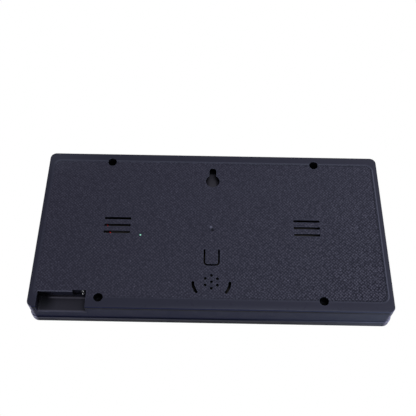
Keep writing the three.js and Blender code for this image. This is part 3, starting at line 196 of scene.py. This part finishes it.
def make_floor(height, half):
    """A pale floor that looks a little brighter than the lamps make it."""
    mesh = bpy.data.meshes.new("floor")
    corners = [(-half, -half, height), (half, -half, height), (half, half, height), (-half, half, height)]
    mesh.from_pydata(corners, [], [(0, 1, 2, 3)])
    floor = bpy.data.objects.new("floor", mesh)
    bpy.context.scene.collection.objects.link(floor)
    material = bpy.data.materials.new("floor")
    material.use_nodes = True
    tree = material.node_tree
    bsdf = tree.nodes["Principled BSDF"]
    bsdf.inputs["Base Color"].default_value = (FLOOR_TONE, FLOOR_TONE, FLOOR_TONE, 1)
    bsdf.inputs["Roughness"].default_value = 0.9
    bsdf.inputs["Emission Color"].default_value = (1, 1, 1, 1)
    glow = tree.nodes.new("ShaderNodeMath")
    glow.operation = "MULTIPLY"
    glow.inputs[1].default_value = FLOOR_GLOW
    tree.links.new(seen_directly(tree), glow.inputs[0])
    tree.links.new(glow.outputs[0], bsdf.inputs["Emission Strength"])
    mesh.materials.append(material)


# Small helpers for node materials
class Graph:
    """One Principled material and short ways to add nodes to it."""

    def __init__(self, name, roughness, metallic=0.0, specular=0.5):
        self.material = bpy.data.materials.new(name)
        self.material.use_nodes = True
        self.tree = self.material.node_tree
        self.bsdf = self.tree.nodes["Principled BSDF"]
        self.bsdf.inputs["Roughness"].default_value = roughness
        self.bsdf.inputs["Metallic"].default_value = metallic
        self.bsdf.inputs["Specular IOR Level"].default_value = specular
        self.place = self.tree.nodes.new("ShaderNodeTexCoord").outputs["Object"]

    def add(self, kind, **settings):
        node = self.tree.nodes.new(kind)
        for key, value in settings.items():
            setattr(node, key, value)
        return node

    def feed(self, socket, value):
        if isinstance(value, bpy.types.NodeSocket):
            self.tree.links.new(value, socket)
        else:
            socket.default_value = value

    def math(self, operation, a, b=0.0):
        node = self.add("ShaderNodeMath", operation=operation)
        self.feed(node.inputs[0], a)
        self.feed(node.inputs[1], b)
        return node.outputs[0]

    def vector(self, operation, a, b=(0.0, 0.0, 0.0)):
        node = self.add("ShaderNodeVectorMath", operation=operation)
        self.feed(node.inputs[0], a)
        self.feed(node.inputs[1], b)
        return node.outputs["Value"] if operation in ("LENGTH", "DOT_PRODUCT") else node.outputs["Vector"]

    def split(self, vector):
        node = self.add("ShaderNodeSeparateXYZ")
        self.feed(node.inputs[0], vector)
        return node.outputs

    def stretch(self, scale, turn=(0.0, 0.0, 0.0)):
        node = self.add("ShaderNodeMapping")
        self.feed(node.inputs["Vector"], self.place)
        node.inputs["Scale"].default_value = scale
        node.inputs["Rotation"].default_value = turn
        return node.outputs[0]

    def noise(self, size, detail=3.0, rough=0.55, at=None):
        """Noise from 0 to 1 whose features are about size metres wide."""
        node = self.add("ShaderNodeTexNoise")
        self.feed(node.inputs["Vector"], at or self.place)
        node.inputs["Scale"].default_value = 1.0 / size
        node.inputs["Detail"].default_value = detail
        node.inputs["Roughness"].default_value = rough
        return node.outputs["Fac"]

    def cells(self, size, randomness, at):
        """Distance from the middle of the nearest cell, in cells that are about size metres apart."""
        node = self.add("ShaderNodeTexVoronoi", feature="F1")
        self.feed(node.inputs["Vector"], at)
        node.inputs["Scale"].default_value = 1.0 / size
        node.inputs["Randomness"].default_value = randomness
        return node.outputs["Distance"]

    def span(self, value, low, high, to_low=0.0, to_high=1.0):
        """From to_low where value is low, evenly to to_high where it is high, and the same beyond."""
        node = self.add("ShaderNodeMapRange", clamp=True)
        self.feed(node.inputs["Value"], value)
        node.inputs["From Min"].default_value = low
        node.inputs["From Max"].default_value = high
        node.inputs["To Min"].default_value = to_low
        node.inputs["To Max"].default_value = to_high
        return node.outputs["Result"]

    def vary(self, noise, low, high):
        """The usual reach of a noise, run from low to high."""
        usual_low = 0.3
        usual_high = 0.7
        return self.span(noise, usual_low, usual_high, low, high)

    def mix(self, share, a, b):
        node = self.add("ShaderNodeMix", data_type="RGBA")
        self.feed(node.inputs["Factor"], share)
        colours = [s for s in node.inputs if s.type == "RGBA"]
        for socket, value in zip(colours, (a, b)):
            self.feed(socket, (*value, 1.0) if isinstance(value, tuple) and len(value) == 3 else value)
        return [s for s in node.outputs if s.type == "RGBA"][0]

    def bump(self, height, depth, normal=None):
        """Bump whose height of 1 stands depth metres proud."""
        node = self.add("ShaderNodeBump")
        self.feed(node.inputs["Height"], height)
        node.inputs["Distance"].default_value = depth
        if normal is not None:
            self.feed(node.inputs["Normal"], normal)
        return node.outputs["Normal"]

    def rounded(self, radius):
        """Normals that run smoothly round every edge."""
        node = self.add("ShaderNodeBevel", samples=6)
        node.inputs["Radius"].default_value = radius
        return node.outputs["Normal"]

    def hidden(self, reach, bright, dark):
        """0 in the open and 1 deep in holes that are narrower than reach metres, as a share of painted
        shade.
        """
        node = self.add("ShaderNodeAmbientOcclusion", samples=6)
        node.inputs["Distance"].default_value = reach
        return self.span(node.outputs["AO"], bright, dark)

    def times(self, *values):
        result = values[0]
        for value in values[1:]:
            result = self.math("MULTIPLY", result, value)
        return result

    def paint(self, base, colour, strength, *shares):
        """Base with a colour over it, as much as the strength and all the shares say."""
        return self.mix(self.times(strength, *shares), base, colour)

    def between(self, value, low, high, soft=0.0006):
        """1 where value lies between low and high and 0 outside."""
        return self.times(self.span(value, low - soft, low), self.span(value, high + soft, high))

    def spot(self, centre, radius):
        """1 inside a round spot on the plane of the wall and 0 outside."""
        away = self.vector("MULTIPLY", self.vector("SUBTRACT", self.place, centre), (1.0, 0.0, 1.0))
        return self.span(self.vector("LENGTH", away), radius, radius * 0.5)

    def near(self, value, middle, half):
        """1 where value is about middle and 0 from half away."""
        away = self.math("ABSOLUTE", self.math("SUBTRACT", value, middle))
        return self.span(away, half, half * 0.3)

    def edge_wear_and_highlight(self, radius):
        """About 1 on sharp edges and 0 on flats."""
        here = self.add("ShaderNodeNewGeometry").outputs["Normal"]
        along = self.vector("DOT_PRODUCT", self.rounded(radius), here)
        flat = 0.995
        sharp = 0.86
        return self.span(along, flat, sharp)

    def finish(self, colour, roughness, normal):
        self.feed(self.bsdf.inputs["Base Color"], colour)
        self.feed(self.bsdf.inputs["Roughness"], roughness)
        self.feed(self.bsdf.inputs["Normal"], normal)
        return self.material


def linear(*values):
    """sRGB values from 0 to 255 as linear ones."""
    return tuple((v / 255 / 12.92) if v <= 10 else ((v / 255 + 0.055) / 1.055) ** 2.4 for v in values)


# Case plastic, made in layers of tone. Left and right are the photo's, and its left is +X
# Many tones below are painted light and shade: lighter to the right, highlights on brims, edges and
# corners, and shade in seams, holes and the pocket
TONES = {
    "plastic_dark": linear(27, 28, 41),
    "plastic_light": linear(33, 34, 47),
    "plastic_lit_right": linear(37, 38, 48),
    "field_left": linear(43, 42, 53),
    "field_lit_right": linear(47, 47, 59),
    "border_left": linear(35, 35, 45),
    "border_lit_right": linear(42, 42, 53),
    "pale_corner": linear(60, 62, 74),
    "lit_pebble": linear(68, 68, 82),
    "shaded_hollow": linear(18, 18, 27),
    "speck_glint": linear(110, 110, 128),
    "foot": linear(14, 14, 21),
    "brim": linear(78, 80, 95),
    "gate_highlight": linear(84, 86, 102),
    "gate_shade": linear(6, 6, 10),
    "wall_shaded_left": linear(19, 22, 47),
    "wall_lit_right": linear(52, 58, 78),
    "seam_shade": linear(8, 8, 13),
    "lip": linear(3, 4, 12),
    "ledge": linear(76, 80, 98),
    "front_line_highlight": linear(66, 66, 84),
    "glint": linear(140, 140, 168),
    "wear_and_highlight": linear(82, 86, 106),
    "pocket_rim_highlight": linear(82, 84, 100),
    "pocket_floor_shade": linear(35, 34, 40),
    "painted_hole_shade": linear(6, 6, 8),
    "pocket_end_shadow": linear(5, 5, 7),
    "lit_keyhole_floor": linear(51, 50, 57),
    "pocket_heel_highlight": linear(76, 75, 86),
    "pocket_lip_highlight": linear(84, 84, 98),
}


def past(g, centre, half_size, corner):
    """Metres outside a rounded rectangle on the plane of the wall, less than 0 inside it."""
    away = g.vector("ABSOLUTE", g.vector("SUBTRACT", g.place, centre))
    inner = tuple(half - corner for half in half_size)
    beyond = g.vector("MAXIMUM", g.vector("SUBTRACT", away, inner), (0.0, 0.0, 0.0))
    return g.math("SUBTRACT", g.vector("LENGTH", beyond), corner)


class CasePlaces:
    """Where a point of the case lies: distances in metres, and shares from 0 to 1."""

    def __init__(self, g):
        self.x, self.y, self.z = g.split(g.place)
        self.side = g.math("ABSOLUTE", self.x)
        self.up = g.math("ABSOLUTE", g.math("SUBTRACT", self.z, CASE_CENTRE[2]))
        self.off_field = past(g, FIELD_CENTRE, FIELD_HALF, FIELD_CORNER)
        self.to_right = g.span(self.x, *LEFT_TO_RIGHT)
        self.at_back = g.math("GREATER_THAN", self.y, FIELD_DEEPEST)
        self.field = g.times(g.span(self.off_field, 0.0, -FIELD_FADE), self.at_back)
        self.walls = g.math("GREATER_THAN", past(g, CASE_CENTRE, CASE_HALF, CASE_CORNER), -WALL_SKIN)
        self.within = g.math("SUBTRACT", 1.0, self.walls)
        self.under = g.times(g.span(self.z, *UNDERSIDE), g.span(self.y, *FRONT_EDGE), self.walls)
        self.deep = g.between(self.y, *DEEP)
        self.in_cover = g.times(g.between(self.y, *COVER_DEPTH, COVER_FADE), self.within)
        self.along_pocket = g.between(self.x, *POCKET_X)
        self.in_pocket = g.times(self.along_pocket, g.span(self.z, *POCKET_START), self.in_cover)


def pebbles(g):
    """Height of small pebbles in loose rows, uneven in size, with a fine grain over them."""
    rows = g.stretch((1.0, 0.0, 1.0), (0.0, GRAIN_TURN, 0.0))
    round_tops = g.span(g.cells(GRAIN_PITCH, GRAIN_LOOSENESS, rows), 0.05, 0.65, 1.0, 0.0)
    uneven = g.vary(g.noise(0.007, 3.0, 0.6), 0.88, 1.1)
    grain = g.noise(0.0012, 4.0, 0.7)
    return g.math("ADD", g.times(round_tops, uneven), g.times(grain, 0.8))


def crispness(g, at):
    """How clear the pebbles are, in their bump and in their painted light and shade: most at the field's
    lower right corner, and 0 off the field.
    """
    to_corner = g.times(at.to_right, g.span(at.z, *TOP_TO_BOTTOM, 0.5, 1.0))
    return g.times(g.span(g.times(to_corner, to_corner), 0.0, 1.0, 0.65, 1.7), at.field)


def relief(g, height, crisp):
    """Rounded edges, a fine roughness everywhere and the pebbles over both."""
    fine = g.noise(0.00035, 3.0, 0.6)
    normal = g.bump(fine, FINE_DEPTH, g.rounded(EDGE_ROUND))
    return g.bump(g.times(height, crisp), PEBBLE_DEPTH, normal)


def plain_tone(g, at):
    """Dark blue-grey in soft clouds, with painted light making it a little lighter to the right, and
    lighter at the upper left corner.
    """
    base = g.mix(g.noise(0.05, 2.0, 0.5), TONES["plastic_dark"], TONES["plastic_light"])
    base = g.paint(base, TONES["plastic_lit_right"], 0.6, at.to_right)
    inner = g.mix(at.to_right, TONES["field_left"], TONES["field_lit_right"])
    border = g.mix(at.to_right, TONES["border_left"], TONES["border_lit_right"])
    base = g.paint(base, g.mix(at.field, border, inner), 0.6, at.at_back)
    corner = g.times(g.span(at.x, *PALE_CORNER_X), g.span(at.z, *PALE_CORNER_Z))
    return g.paint(base, TONES["pale_corner"], 0.25, at.at_back, corner)


def grain_light_and_shade(g, base, height, crisp):
    """Painted highlights on the pebbles, painted shade in the hollows between them and a few painted glints
    as light specks.
    """
    base = g.paint(base, TONES["lit_pebble"], 0.7, g.span(height, 0.75, 1.5), crisp)
    base = g.paint(base, TONES["shaded_hollow"], 0.6, g.span(height, 0.85, 0.35), crisp)
    specks = g.span(g.noise(0.0015, 2.0, 0.7), 0.67, 0.74)
    return g.paint(base, TONES["speck_glint"], 0.5, specks, crisp)


def field_step(g, at, base):
    """The step round the field: painted shade at its foot and a thin painted highlight on its brim, both
    clearer to the right.
    """
    clear = g.times(g.span(at.to_right, 0.3, 1.0, 0.15, 1.0), at.at_back)
    base = g.paint(base, TONES["foot"], 0.65, g.near(at.off_field, *FOOT), clear)
    at_top = g.span(at.z, *BRIM_TOP)
    ends = g.times(g.span(at.z, *BRIM_BOTTOM, 0.15, 0.55), g.span(at_top, 0.0, 1.0, 1.0, 0.5))
    seen = g.math("MAXIMUM", g.times(clear, ends), g.times(at_top, at.at_back, 0.27))
    return g.paint(base, TONES["brim"], 1.0, g.near(at.off_field, *BRIM), seen)


def gate_mark(g, at, base):
    """The moulding's gate mark, with a painted highlight above and painted shade below."""
    base = g.paint(base, TONES["gate_highlight"], 1.0, g.spot(*GATE_HIGHLIGHT), at.at_back)
    return g.paint(base, TONES["gate_shade"], 1.0, g.spot(*GATE_SHADE), at.at_back)


def bottom_wall(g, at, base):
    """The bottom wall is bluer, and painted light makes it lighter at its right end."""
    lit_right_end = g.times(at.to_right, at.to_right, at.to_right, at.to_right)
    return g.paint(base, g.mix(lit_right_end, TONES["wall_shaded_left"], TONES["wall_lit_right"]), 0.8, at.under)


def seams(g, at, base):
    """Painted shade in the seams where the cover and the front frame meet the side walls."""
    cover_seam = g.times(g.near(at.y, *COVER_SEAM), 0.9)
    left_end = g.span(at.to_right, 0.04, 0.12, 0.0, 0.2)
    right_half = g.span(at.to_right, 0.58, 0.75, 1.0, 4.0)
    lip_seam = g.times(g.near(at.y, *LIP_SEAM), left_end, right_half)
    return g.paint(base, TONES["seam_shade"], 1.0, g.math("MAXIMUM", cover_seam, lip_seam), at.walls)


def front_lip(g, at, base):
    """The front frame's lip: painted shade below, with a painted highlight on the ledge at the right and a
    soft painted highlight line near the front.
    """
    left_end = g.span(at.to_right, 0.0, 0.3, 0.6, 0.85)
    lit_right_end = g.span(at.to_right, 1.0, 0.7, 0.1, 0.95)
    base = g.paint(base, TONES["lip"], 1.0, g.span(at.y, *LIP_START), at.under, left_end, lit_right_end)
    to_ledge = g.span(at.to_right, 0.55, 0.95, 0.0, 0.6)
    base = g.paint(base, TONES["ledge"], 1.0, g.near(at.y, *LEDGE), at.walls, to_ledge)
    line = g.times(g.span(at.to_right, 0.0, 0.5, 0.55, 0.4), g.span(at.to_right, 0.95, 0.6))
    return g.paint(base, TONES["front_line_highlight"], 1.0, g.near(at.y, *FRONT_LINE), at.walls, line)


def corner_glints(g, at, base):
    """Small painted glints, as highlights, on the rounded lower corners of the side walls."""
    corner = g.span(g.math("SUBTRACT", at.side, at.z), *CORNER_ARC)
    glints = g.span(g.noise(0.0022, 2.0, 0.6), 0.42, 0.56, 0.2, 0.85)
    return g.paint(base, TONES["glint"], 1.0, corner, at.walls, glints)


def worn_and_highlit_edges(g, at, base):
    """Lighter edges, partly worn and partly a painted highlight, more to the right and little along the
    bottom edge.
    """
    highlight_to_right = g.span(at.to_right, 0.0, 1.0, 0.35, 0.8)
    bottom_edge = g.times(g.span(at.z, *LOW_EDGE), g.span(at.to_right, 0.97, 0.87))
    spared = g.span(bottom_edge, 0.0, 1.0, 1.0, 0.1)
    return g.paint(base, TONES["wear_and_highlight"], 1.0, g.edge_wear_and_highlight(0.0006), highlight_to_right, spared)


def pocket_tone(g, at, base):
    """A painted highlight on the rim over the pocket, and painted shade on the pocket's floor."""
    base = g.paint(base, TONES["pocket_rim_highlight"], 0.4, g.near(at.z, *POCKET_RIM), at.along_pocket, at.at_back)
    return g.paint(base, TONES["pocket_floor_shade"], 0.8, at.in_pocket, at.deep)


def hole_shade(g, at, base):
    """Painted shade: near black in holes, slots and counterbores, and a little less in the pocket."""
    less = g.span(at.in_pocket, 0.0, 1.0, 1.0, 0.75)
    holes = g.times(g.hidden(0.03, 0.82, 0.3), at.within, less)
    bores = g.times(g.near(at.side, BORE_X, BORE_REACH), g.near(at.up, BORE_Z, BORE_REACH), at.in_cover)
    return g.paint(base, TONES["painted_hole_shade"], 1.0, g.math("MAXIMUM", holes, bores))


def pocket_and_keyhole_light(g, at, base):
    """Painted shadow at the pocket's end, painted light on the keyhole's paler floor, and painted
    highlights on the pocket's heel and lip.
    """
    end = g.times(g.span(at.x, *POCKET_END_X), g.span(at.z, *POCKET_END_Z, 0.3, 0.9))
    base = g.paint(base, TONES["pocket_end_shadow"], 1.0, at.in_pocket, end)
    opening = g.times(g.near(at.x, 0.0, KEYHOLE_REACH), g.between(at.z, *KEYHOLE_Z), at.deep)
    base = g.paint(base, TONES["lit_keyhole_floor"], 1.0, opening, g.span(at.z, *KEYHOLE_LIGHT, 0.4, 0.85))
    heel = g.times(g.near(at.z, *POCKET_HEEL), g.span(at.x, *HEEL_END), at.in_pocket, at.deep)
    base = g.paint(base, TONES["pocket_heel_highlight"], 0.4, heel)
    lip = g.times(g.near(at.y, *POCKET_LIP), g.span(at.z, *POCKET_LIP_Z), at.along_pocket)
    return g.paint(base, TONES["pocket_lip_highlight"], 0.3, lip)


def case_plastic():
    g = Graph("case_plastic", 0.3, specular=0.06)
    g.bsdf.inputs["Specular Tint"].default_value = GLOSS_TINT
    at = CasePlaces(g)
    height = pebbles(g)
    crisp = crispness(g, at)
    base = grain_light_and_shade(g, plain_tone(g, at), height, crisp)
    for layer in (field_step, gate_mark, bottom_wall, seams, front_lip, corner_glints, worn_and_highlit_edges,
                  pocket_tone, hole_shade, pocket_and_keyhole_light):
        base = layer(g, at, base)
    matt = g.times(g.math("MAXIMUM", at.field, at.walls), 0.2)
    rough = g.math("ADD", g.vary(g.noise(0.012, 3.0), 0.26, 0.34), matt)
    return g.finish(base, rough, relief(g, height, crisp))


# Other materials
def plain_plastic(name, dark, light, roughness, specular=0.4, wear_colour=None):
    g = Graph(name, roughness, specular=specular)
    base = g.mix(g.noise(0.012, 3.0), dark, light)
    if wear_colour:
        base = g.paint(base, wear_colour, 0.5, g.edge_wear_and_highlight(0.0004))
    rough = g.vary(g.noise(0.004, 4.0), roughness - 0.06, roughness + 0.08)
    normal = g.bump(g.noise(0.0004, 3.0), 0.00002, g.rounded(0.0002))
    return g.finish(base, rough, normal)


def lens():
    g = Graph("lens", 0.03, specular=0.5)
    g.bsdf.inputs["Transmission Weight"].default_value = 1.0
    g.bsdf.inputs["IOR"].default_value = 1.49
    smears = g.noise(0.03, 4.0, 0.6)
    scratches = g.noise(0.0012, 2.0, 0.5, g.stretch((0.06, 1.0, 1.0), (0.0, 0.4, 0.0)))
    base = g.mix(smears, linear(114, 114, 120), linear(121, 121, 127))
    rough = g.math("ADD", g.span(smears, 0.35, 0.75, 0.02, 0.07), g.span(scratches, 0.68, 0.8, 0.0, 0.08))
    normal = g.bump(g.noise(0.08, 1.0), 0.00004, g.rounded(0.0003))
    return g.finish(base, rough, normal)


def milky_sheet():
    g = Graph("diffuser", 0.45)
    g.bsdf.inputs["Subsurface Weight"].default_value = 0.3
    g.bsdf.inputs["Subsurface Scale"].default_value = 0.002
    base = g.mix(g.noise(0.02), linear(214, 214, 208), linear(228, 228, 224))
    return g.finish(base, g.vary(g.noise(0.003), 0.4, 0.55), g.bump(g.noise(0.0006), 0.00002))


def metal(name, dark, light, roughness, brushed=(1.0, 1.0, 12.0), stain=linear(104, 98, 90)):
    g = Graph(name, roughness, metallic=1.0)
    lines = g.noise(0.002, 3.0, 0.6, g.stretch(brushed))
    base = g.mix(lines, dark, light)
    base = g.mix(g.span(g.noise(0.003, 4.0, 0.7), 0.62, 0.75, 0.0, 0.35), base, stain)
    rough = g.vary(lines, roughness - 0.07, roughness + 0.1)
    normal = g.bump(lines, 0.00002, g.rounded(0.00012))
    return g.finish(base, rough, normal)


def phenolic():
    g = Graph("phenolic_board", 0.42, specular=0.4)
    fibres = g.noise(0.0011, 4.0, 0.65, g.stretch((1.0, 1.0, 0.25)))
    flecks = g.span(g.noise(0.0007, 2.0, 0.7), 0.62, 0.72)
    base = g.mix(fibres, linear(50, 31, 20), linear(68, 43, 27))
    base = g.paint(base, linear(40, 24, 16), 0.4, flecks)
    # Painted shade: the board goes near black where it lies deep in the closed case
    base = g.paint(base, linear(7, 5, 4), 0.96, g.hidden(0.08, 0.95, 0.5))
    return g.finish(base, g.vary(fibres, 0.34, 0.5), g.bump(fibres, 0.00002, g.rounded(0.00015)))


def pressed_paper():
    g = Graph("cone_paper", 0.92, specular=0.15)
    fibres = g.noise(0.0006, 5.0, 0.7)
    base = g.mix(fibres, linear(22, 22, 23), linear(40, 40, 40))
    # Painted shade: the cone goes near black deep in the closed case
    base = g.paint(base, linear(4, 4, 4), 0.9, g.hidden(0.05, 0.95, 0.45))
    return g.finish(base, g.vary(fibres, 0.86, 0.97), g.bump(fibres, 0.00008))


def ferrite():
    g = Graph("ferrite", 0.6, metallic=0.25)
    grain = g.noise(0.0008, 5.0, 0.7)
    base = g.mix(grain, linear(58, 58, 61), linear(84, 84, 88))
    return g.finish(base, g.vary(grain, 0.5, 0.72), g.bump(grain, 0.00005, g.rounded(0.0003)))


def insulation(name, dark, light):
    g = Graph(name, 0.4, specular=0.45)
    base = g.mix(g.noise(0.004, 3.0), dark, light)
    return g.finish(base, g.vary(g.noise(0.002), 0.32, 0.5), g.bump(g.noise(0.0005), 0.00003))


def flat_cable():
    g = Graph("ribbon", 0.5, specular=0.4)
    across = g.split(g.place)["X"]
    cores = g.math("SINE", g.math("MULTIPLY", across, 2 * math.pi / CORE_PITCH))
    base = g.mix(g.span(cores, -1.0, 1.0), linear(118, 119, 123), linear(158, 160, 165))
    return g.finish(base, g.vary(g.noise(0.003), 0.42, 0.58), g.bump(cores, 0.0001))


def bead():
    g = Graph("glass_bead", 0.12, specular=0.6)
    base = g.mix(g.noise(0.0006, 3.0), linear(120, 206, 178), linear(150, 222, 196))
    return g.finish(base, g.vary(g.noise(0.0004), 0.08, 0.2), g.bump(g.noise(0.0005), 0.00003))


MATERIALS = {
    "case_plastic": case_plastic(),
    "lens": lens(),
    "mask": plain_plastic("mask", linear(16, 16, 18), linear(24, 24, 26), 0.7, 0.2),
    "diffuser": milky_sheet(),
    "reflector": plain_plastic("reflector", linear(232, 232, 226), linear(244, 244, 240), 0.42),
    "phenolic_board": phenolic(),
    "dark_steel": metal("dark_steel", linear(7, 7, 8), linear(13, 13, 14), 0.55, TURNED,
                        stain=linear(16, 16, 17)),
    "screw_steel": metal("screw_steel", linear(168, 170, 176), linear(196, 198, 204), 0.34, TURNED),
    "sheet_steel": metal("sheet_steel", linear(188, 190, 196), linear(214, 216, 222), 0.26),
    "black_plastic": plain_plastic("black_plastic", linear(22, 22, 24), linear(32, 32, 35), 0.48),
    "button_plastic": plain_plastic("button_plastic", linear(34, 34, 42), linear(42, 42, 52), 0.34,
                                    wear_colour=linear(78, 80, 92)),
    "ivory_plastic": plain_plastic("ivory_plastic", linear(222, 214, 190), linear(236, 230, 208), 0.45),
    "cone_paper": pressed_paper(),
    "ferrite": ferrite(),
    "red_insulation": insulation("red_insulation", linear(176, 20, 18), linear(206, 34, 28)),
    "black_insulation": insulation("black_insulation", linear(20, 20, 21), linear(34, 34, 36)),
    "ribbon": flat_cable(),
    "capacitor_sleeve": plain_plastic("capacitor_sleeve", linear(24, 34, 58), linear(32, 44, 72), 0.3),
    "glass_bead": bead(),
}


def soften():
    """Modifier group that joins split corners and shades smoothly except across sharp edges."""
    group = bpy.data.node_groups.new("soft_shading", "GeometryNodeTree")
    group.interface.new_socket("Geometry", in_out="INPUT", socket_type="NodeSocketGeometry")
    group.interface.new_socket("Geometry", in_out="OUTPUT", socket_type="NodeSocketGeometry")
    nodes = group.nodes
    link = group.links.new
    entry = nodes.new("NodeGroupInput")
    leave = nodes.new("NodeGroupOutput")
    weld = nodes.new("GeometryNodeMergeByDistance")
    weld.inputs["Distance"].default_value = JOIN_REACH
    smooth = nodes.new("GeometryNodeSetShadeSmooth")
    smooth.domain = "FACE"
    sharp = nodes.new("GeometryNodeSetShadeSmooth")
    sharp.domain = "EDGE"
    sharp.inputs["Shade Smooth"].default_value = False
    angle = nodes.new("GeometryNodeInputMeshEdgeAngle")
    steep = nodes.new("FunctionNodeCompare")
    steep.data_type = "FLOAT"
    steep.operation = "GREATER_THAN"
    steep.inputs["B"].default_value = SHARP_ANGLE
    link(entry.outputs[0], weld.inputs["Geometry"])
    link(weld.outputs[0], smooth.inputs["Geometry"])
    link(smooth.outputs[0], sharp.inputs["Geometry"])
    link(angle.outputs["Unsigned Angle"], steep.inputs["A"])
    link(steep.outputs[0], sharp.inputs["Selection"])
    link(sharp.outputs[0], leave.inputs[0])
    return group


soft_shading = soften()
slots = {part["node"]: part["material_slot"] for part in frame["record"]["subparts"]}
for name, node in frame["nodes"].items():
    node.data.materials.clear()
    node.data.materials.append(MATERIALS[slots[name]])
    node.modifiers.new("soft_shading", "NODES").node_group = soft_shading

make_camera()
make_world(light=0.3, shown=1.0)
make_floor(height=-1.45, half=12.0)
make_lamp("key", place=(-0.35, 1.7, -0.45), size=0.8, power=27.0)
make_lamp("side", place=(-0.6, 0.35, 0.05), size=0.25, power=1.3)
make_lamp("edge", place=(-0.45, 0.35, -0.8), size=0.2, power=0.8)
make_lamp("front", place=(0.9, -1.4, 0.9), size=1.0, power=20.0)
make_lamp("fill", place=(1.1, -0.45, 0.1), size=0.6, power=8.0)

bpy.context.scene.view_settings.view_transform = "Standard"
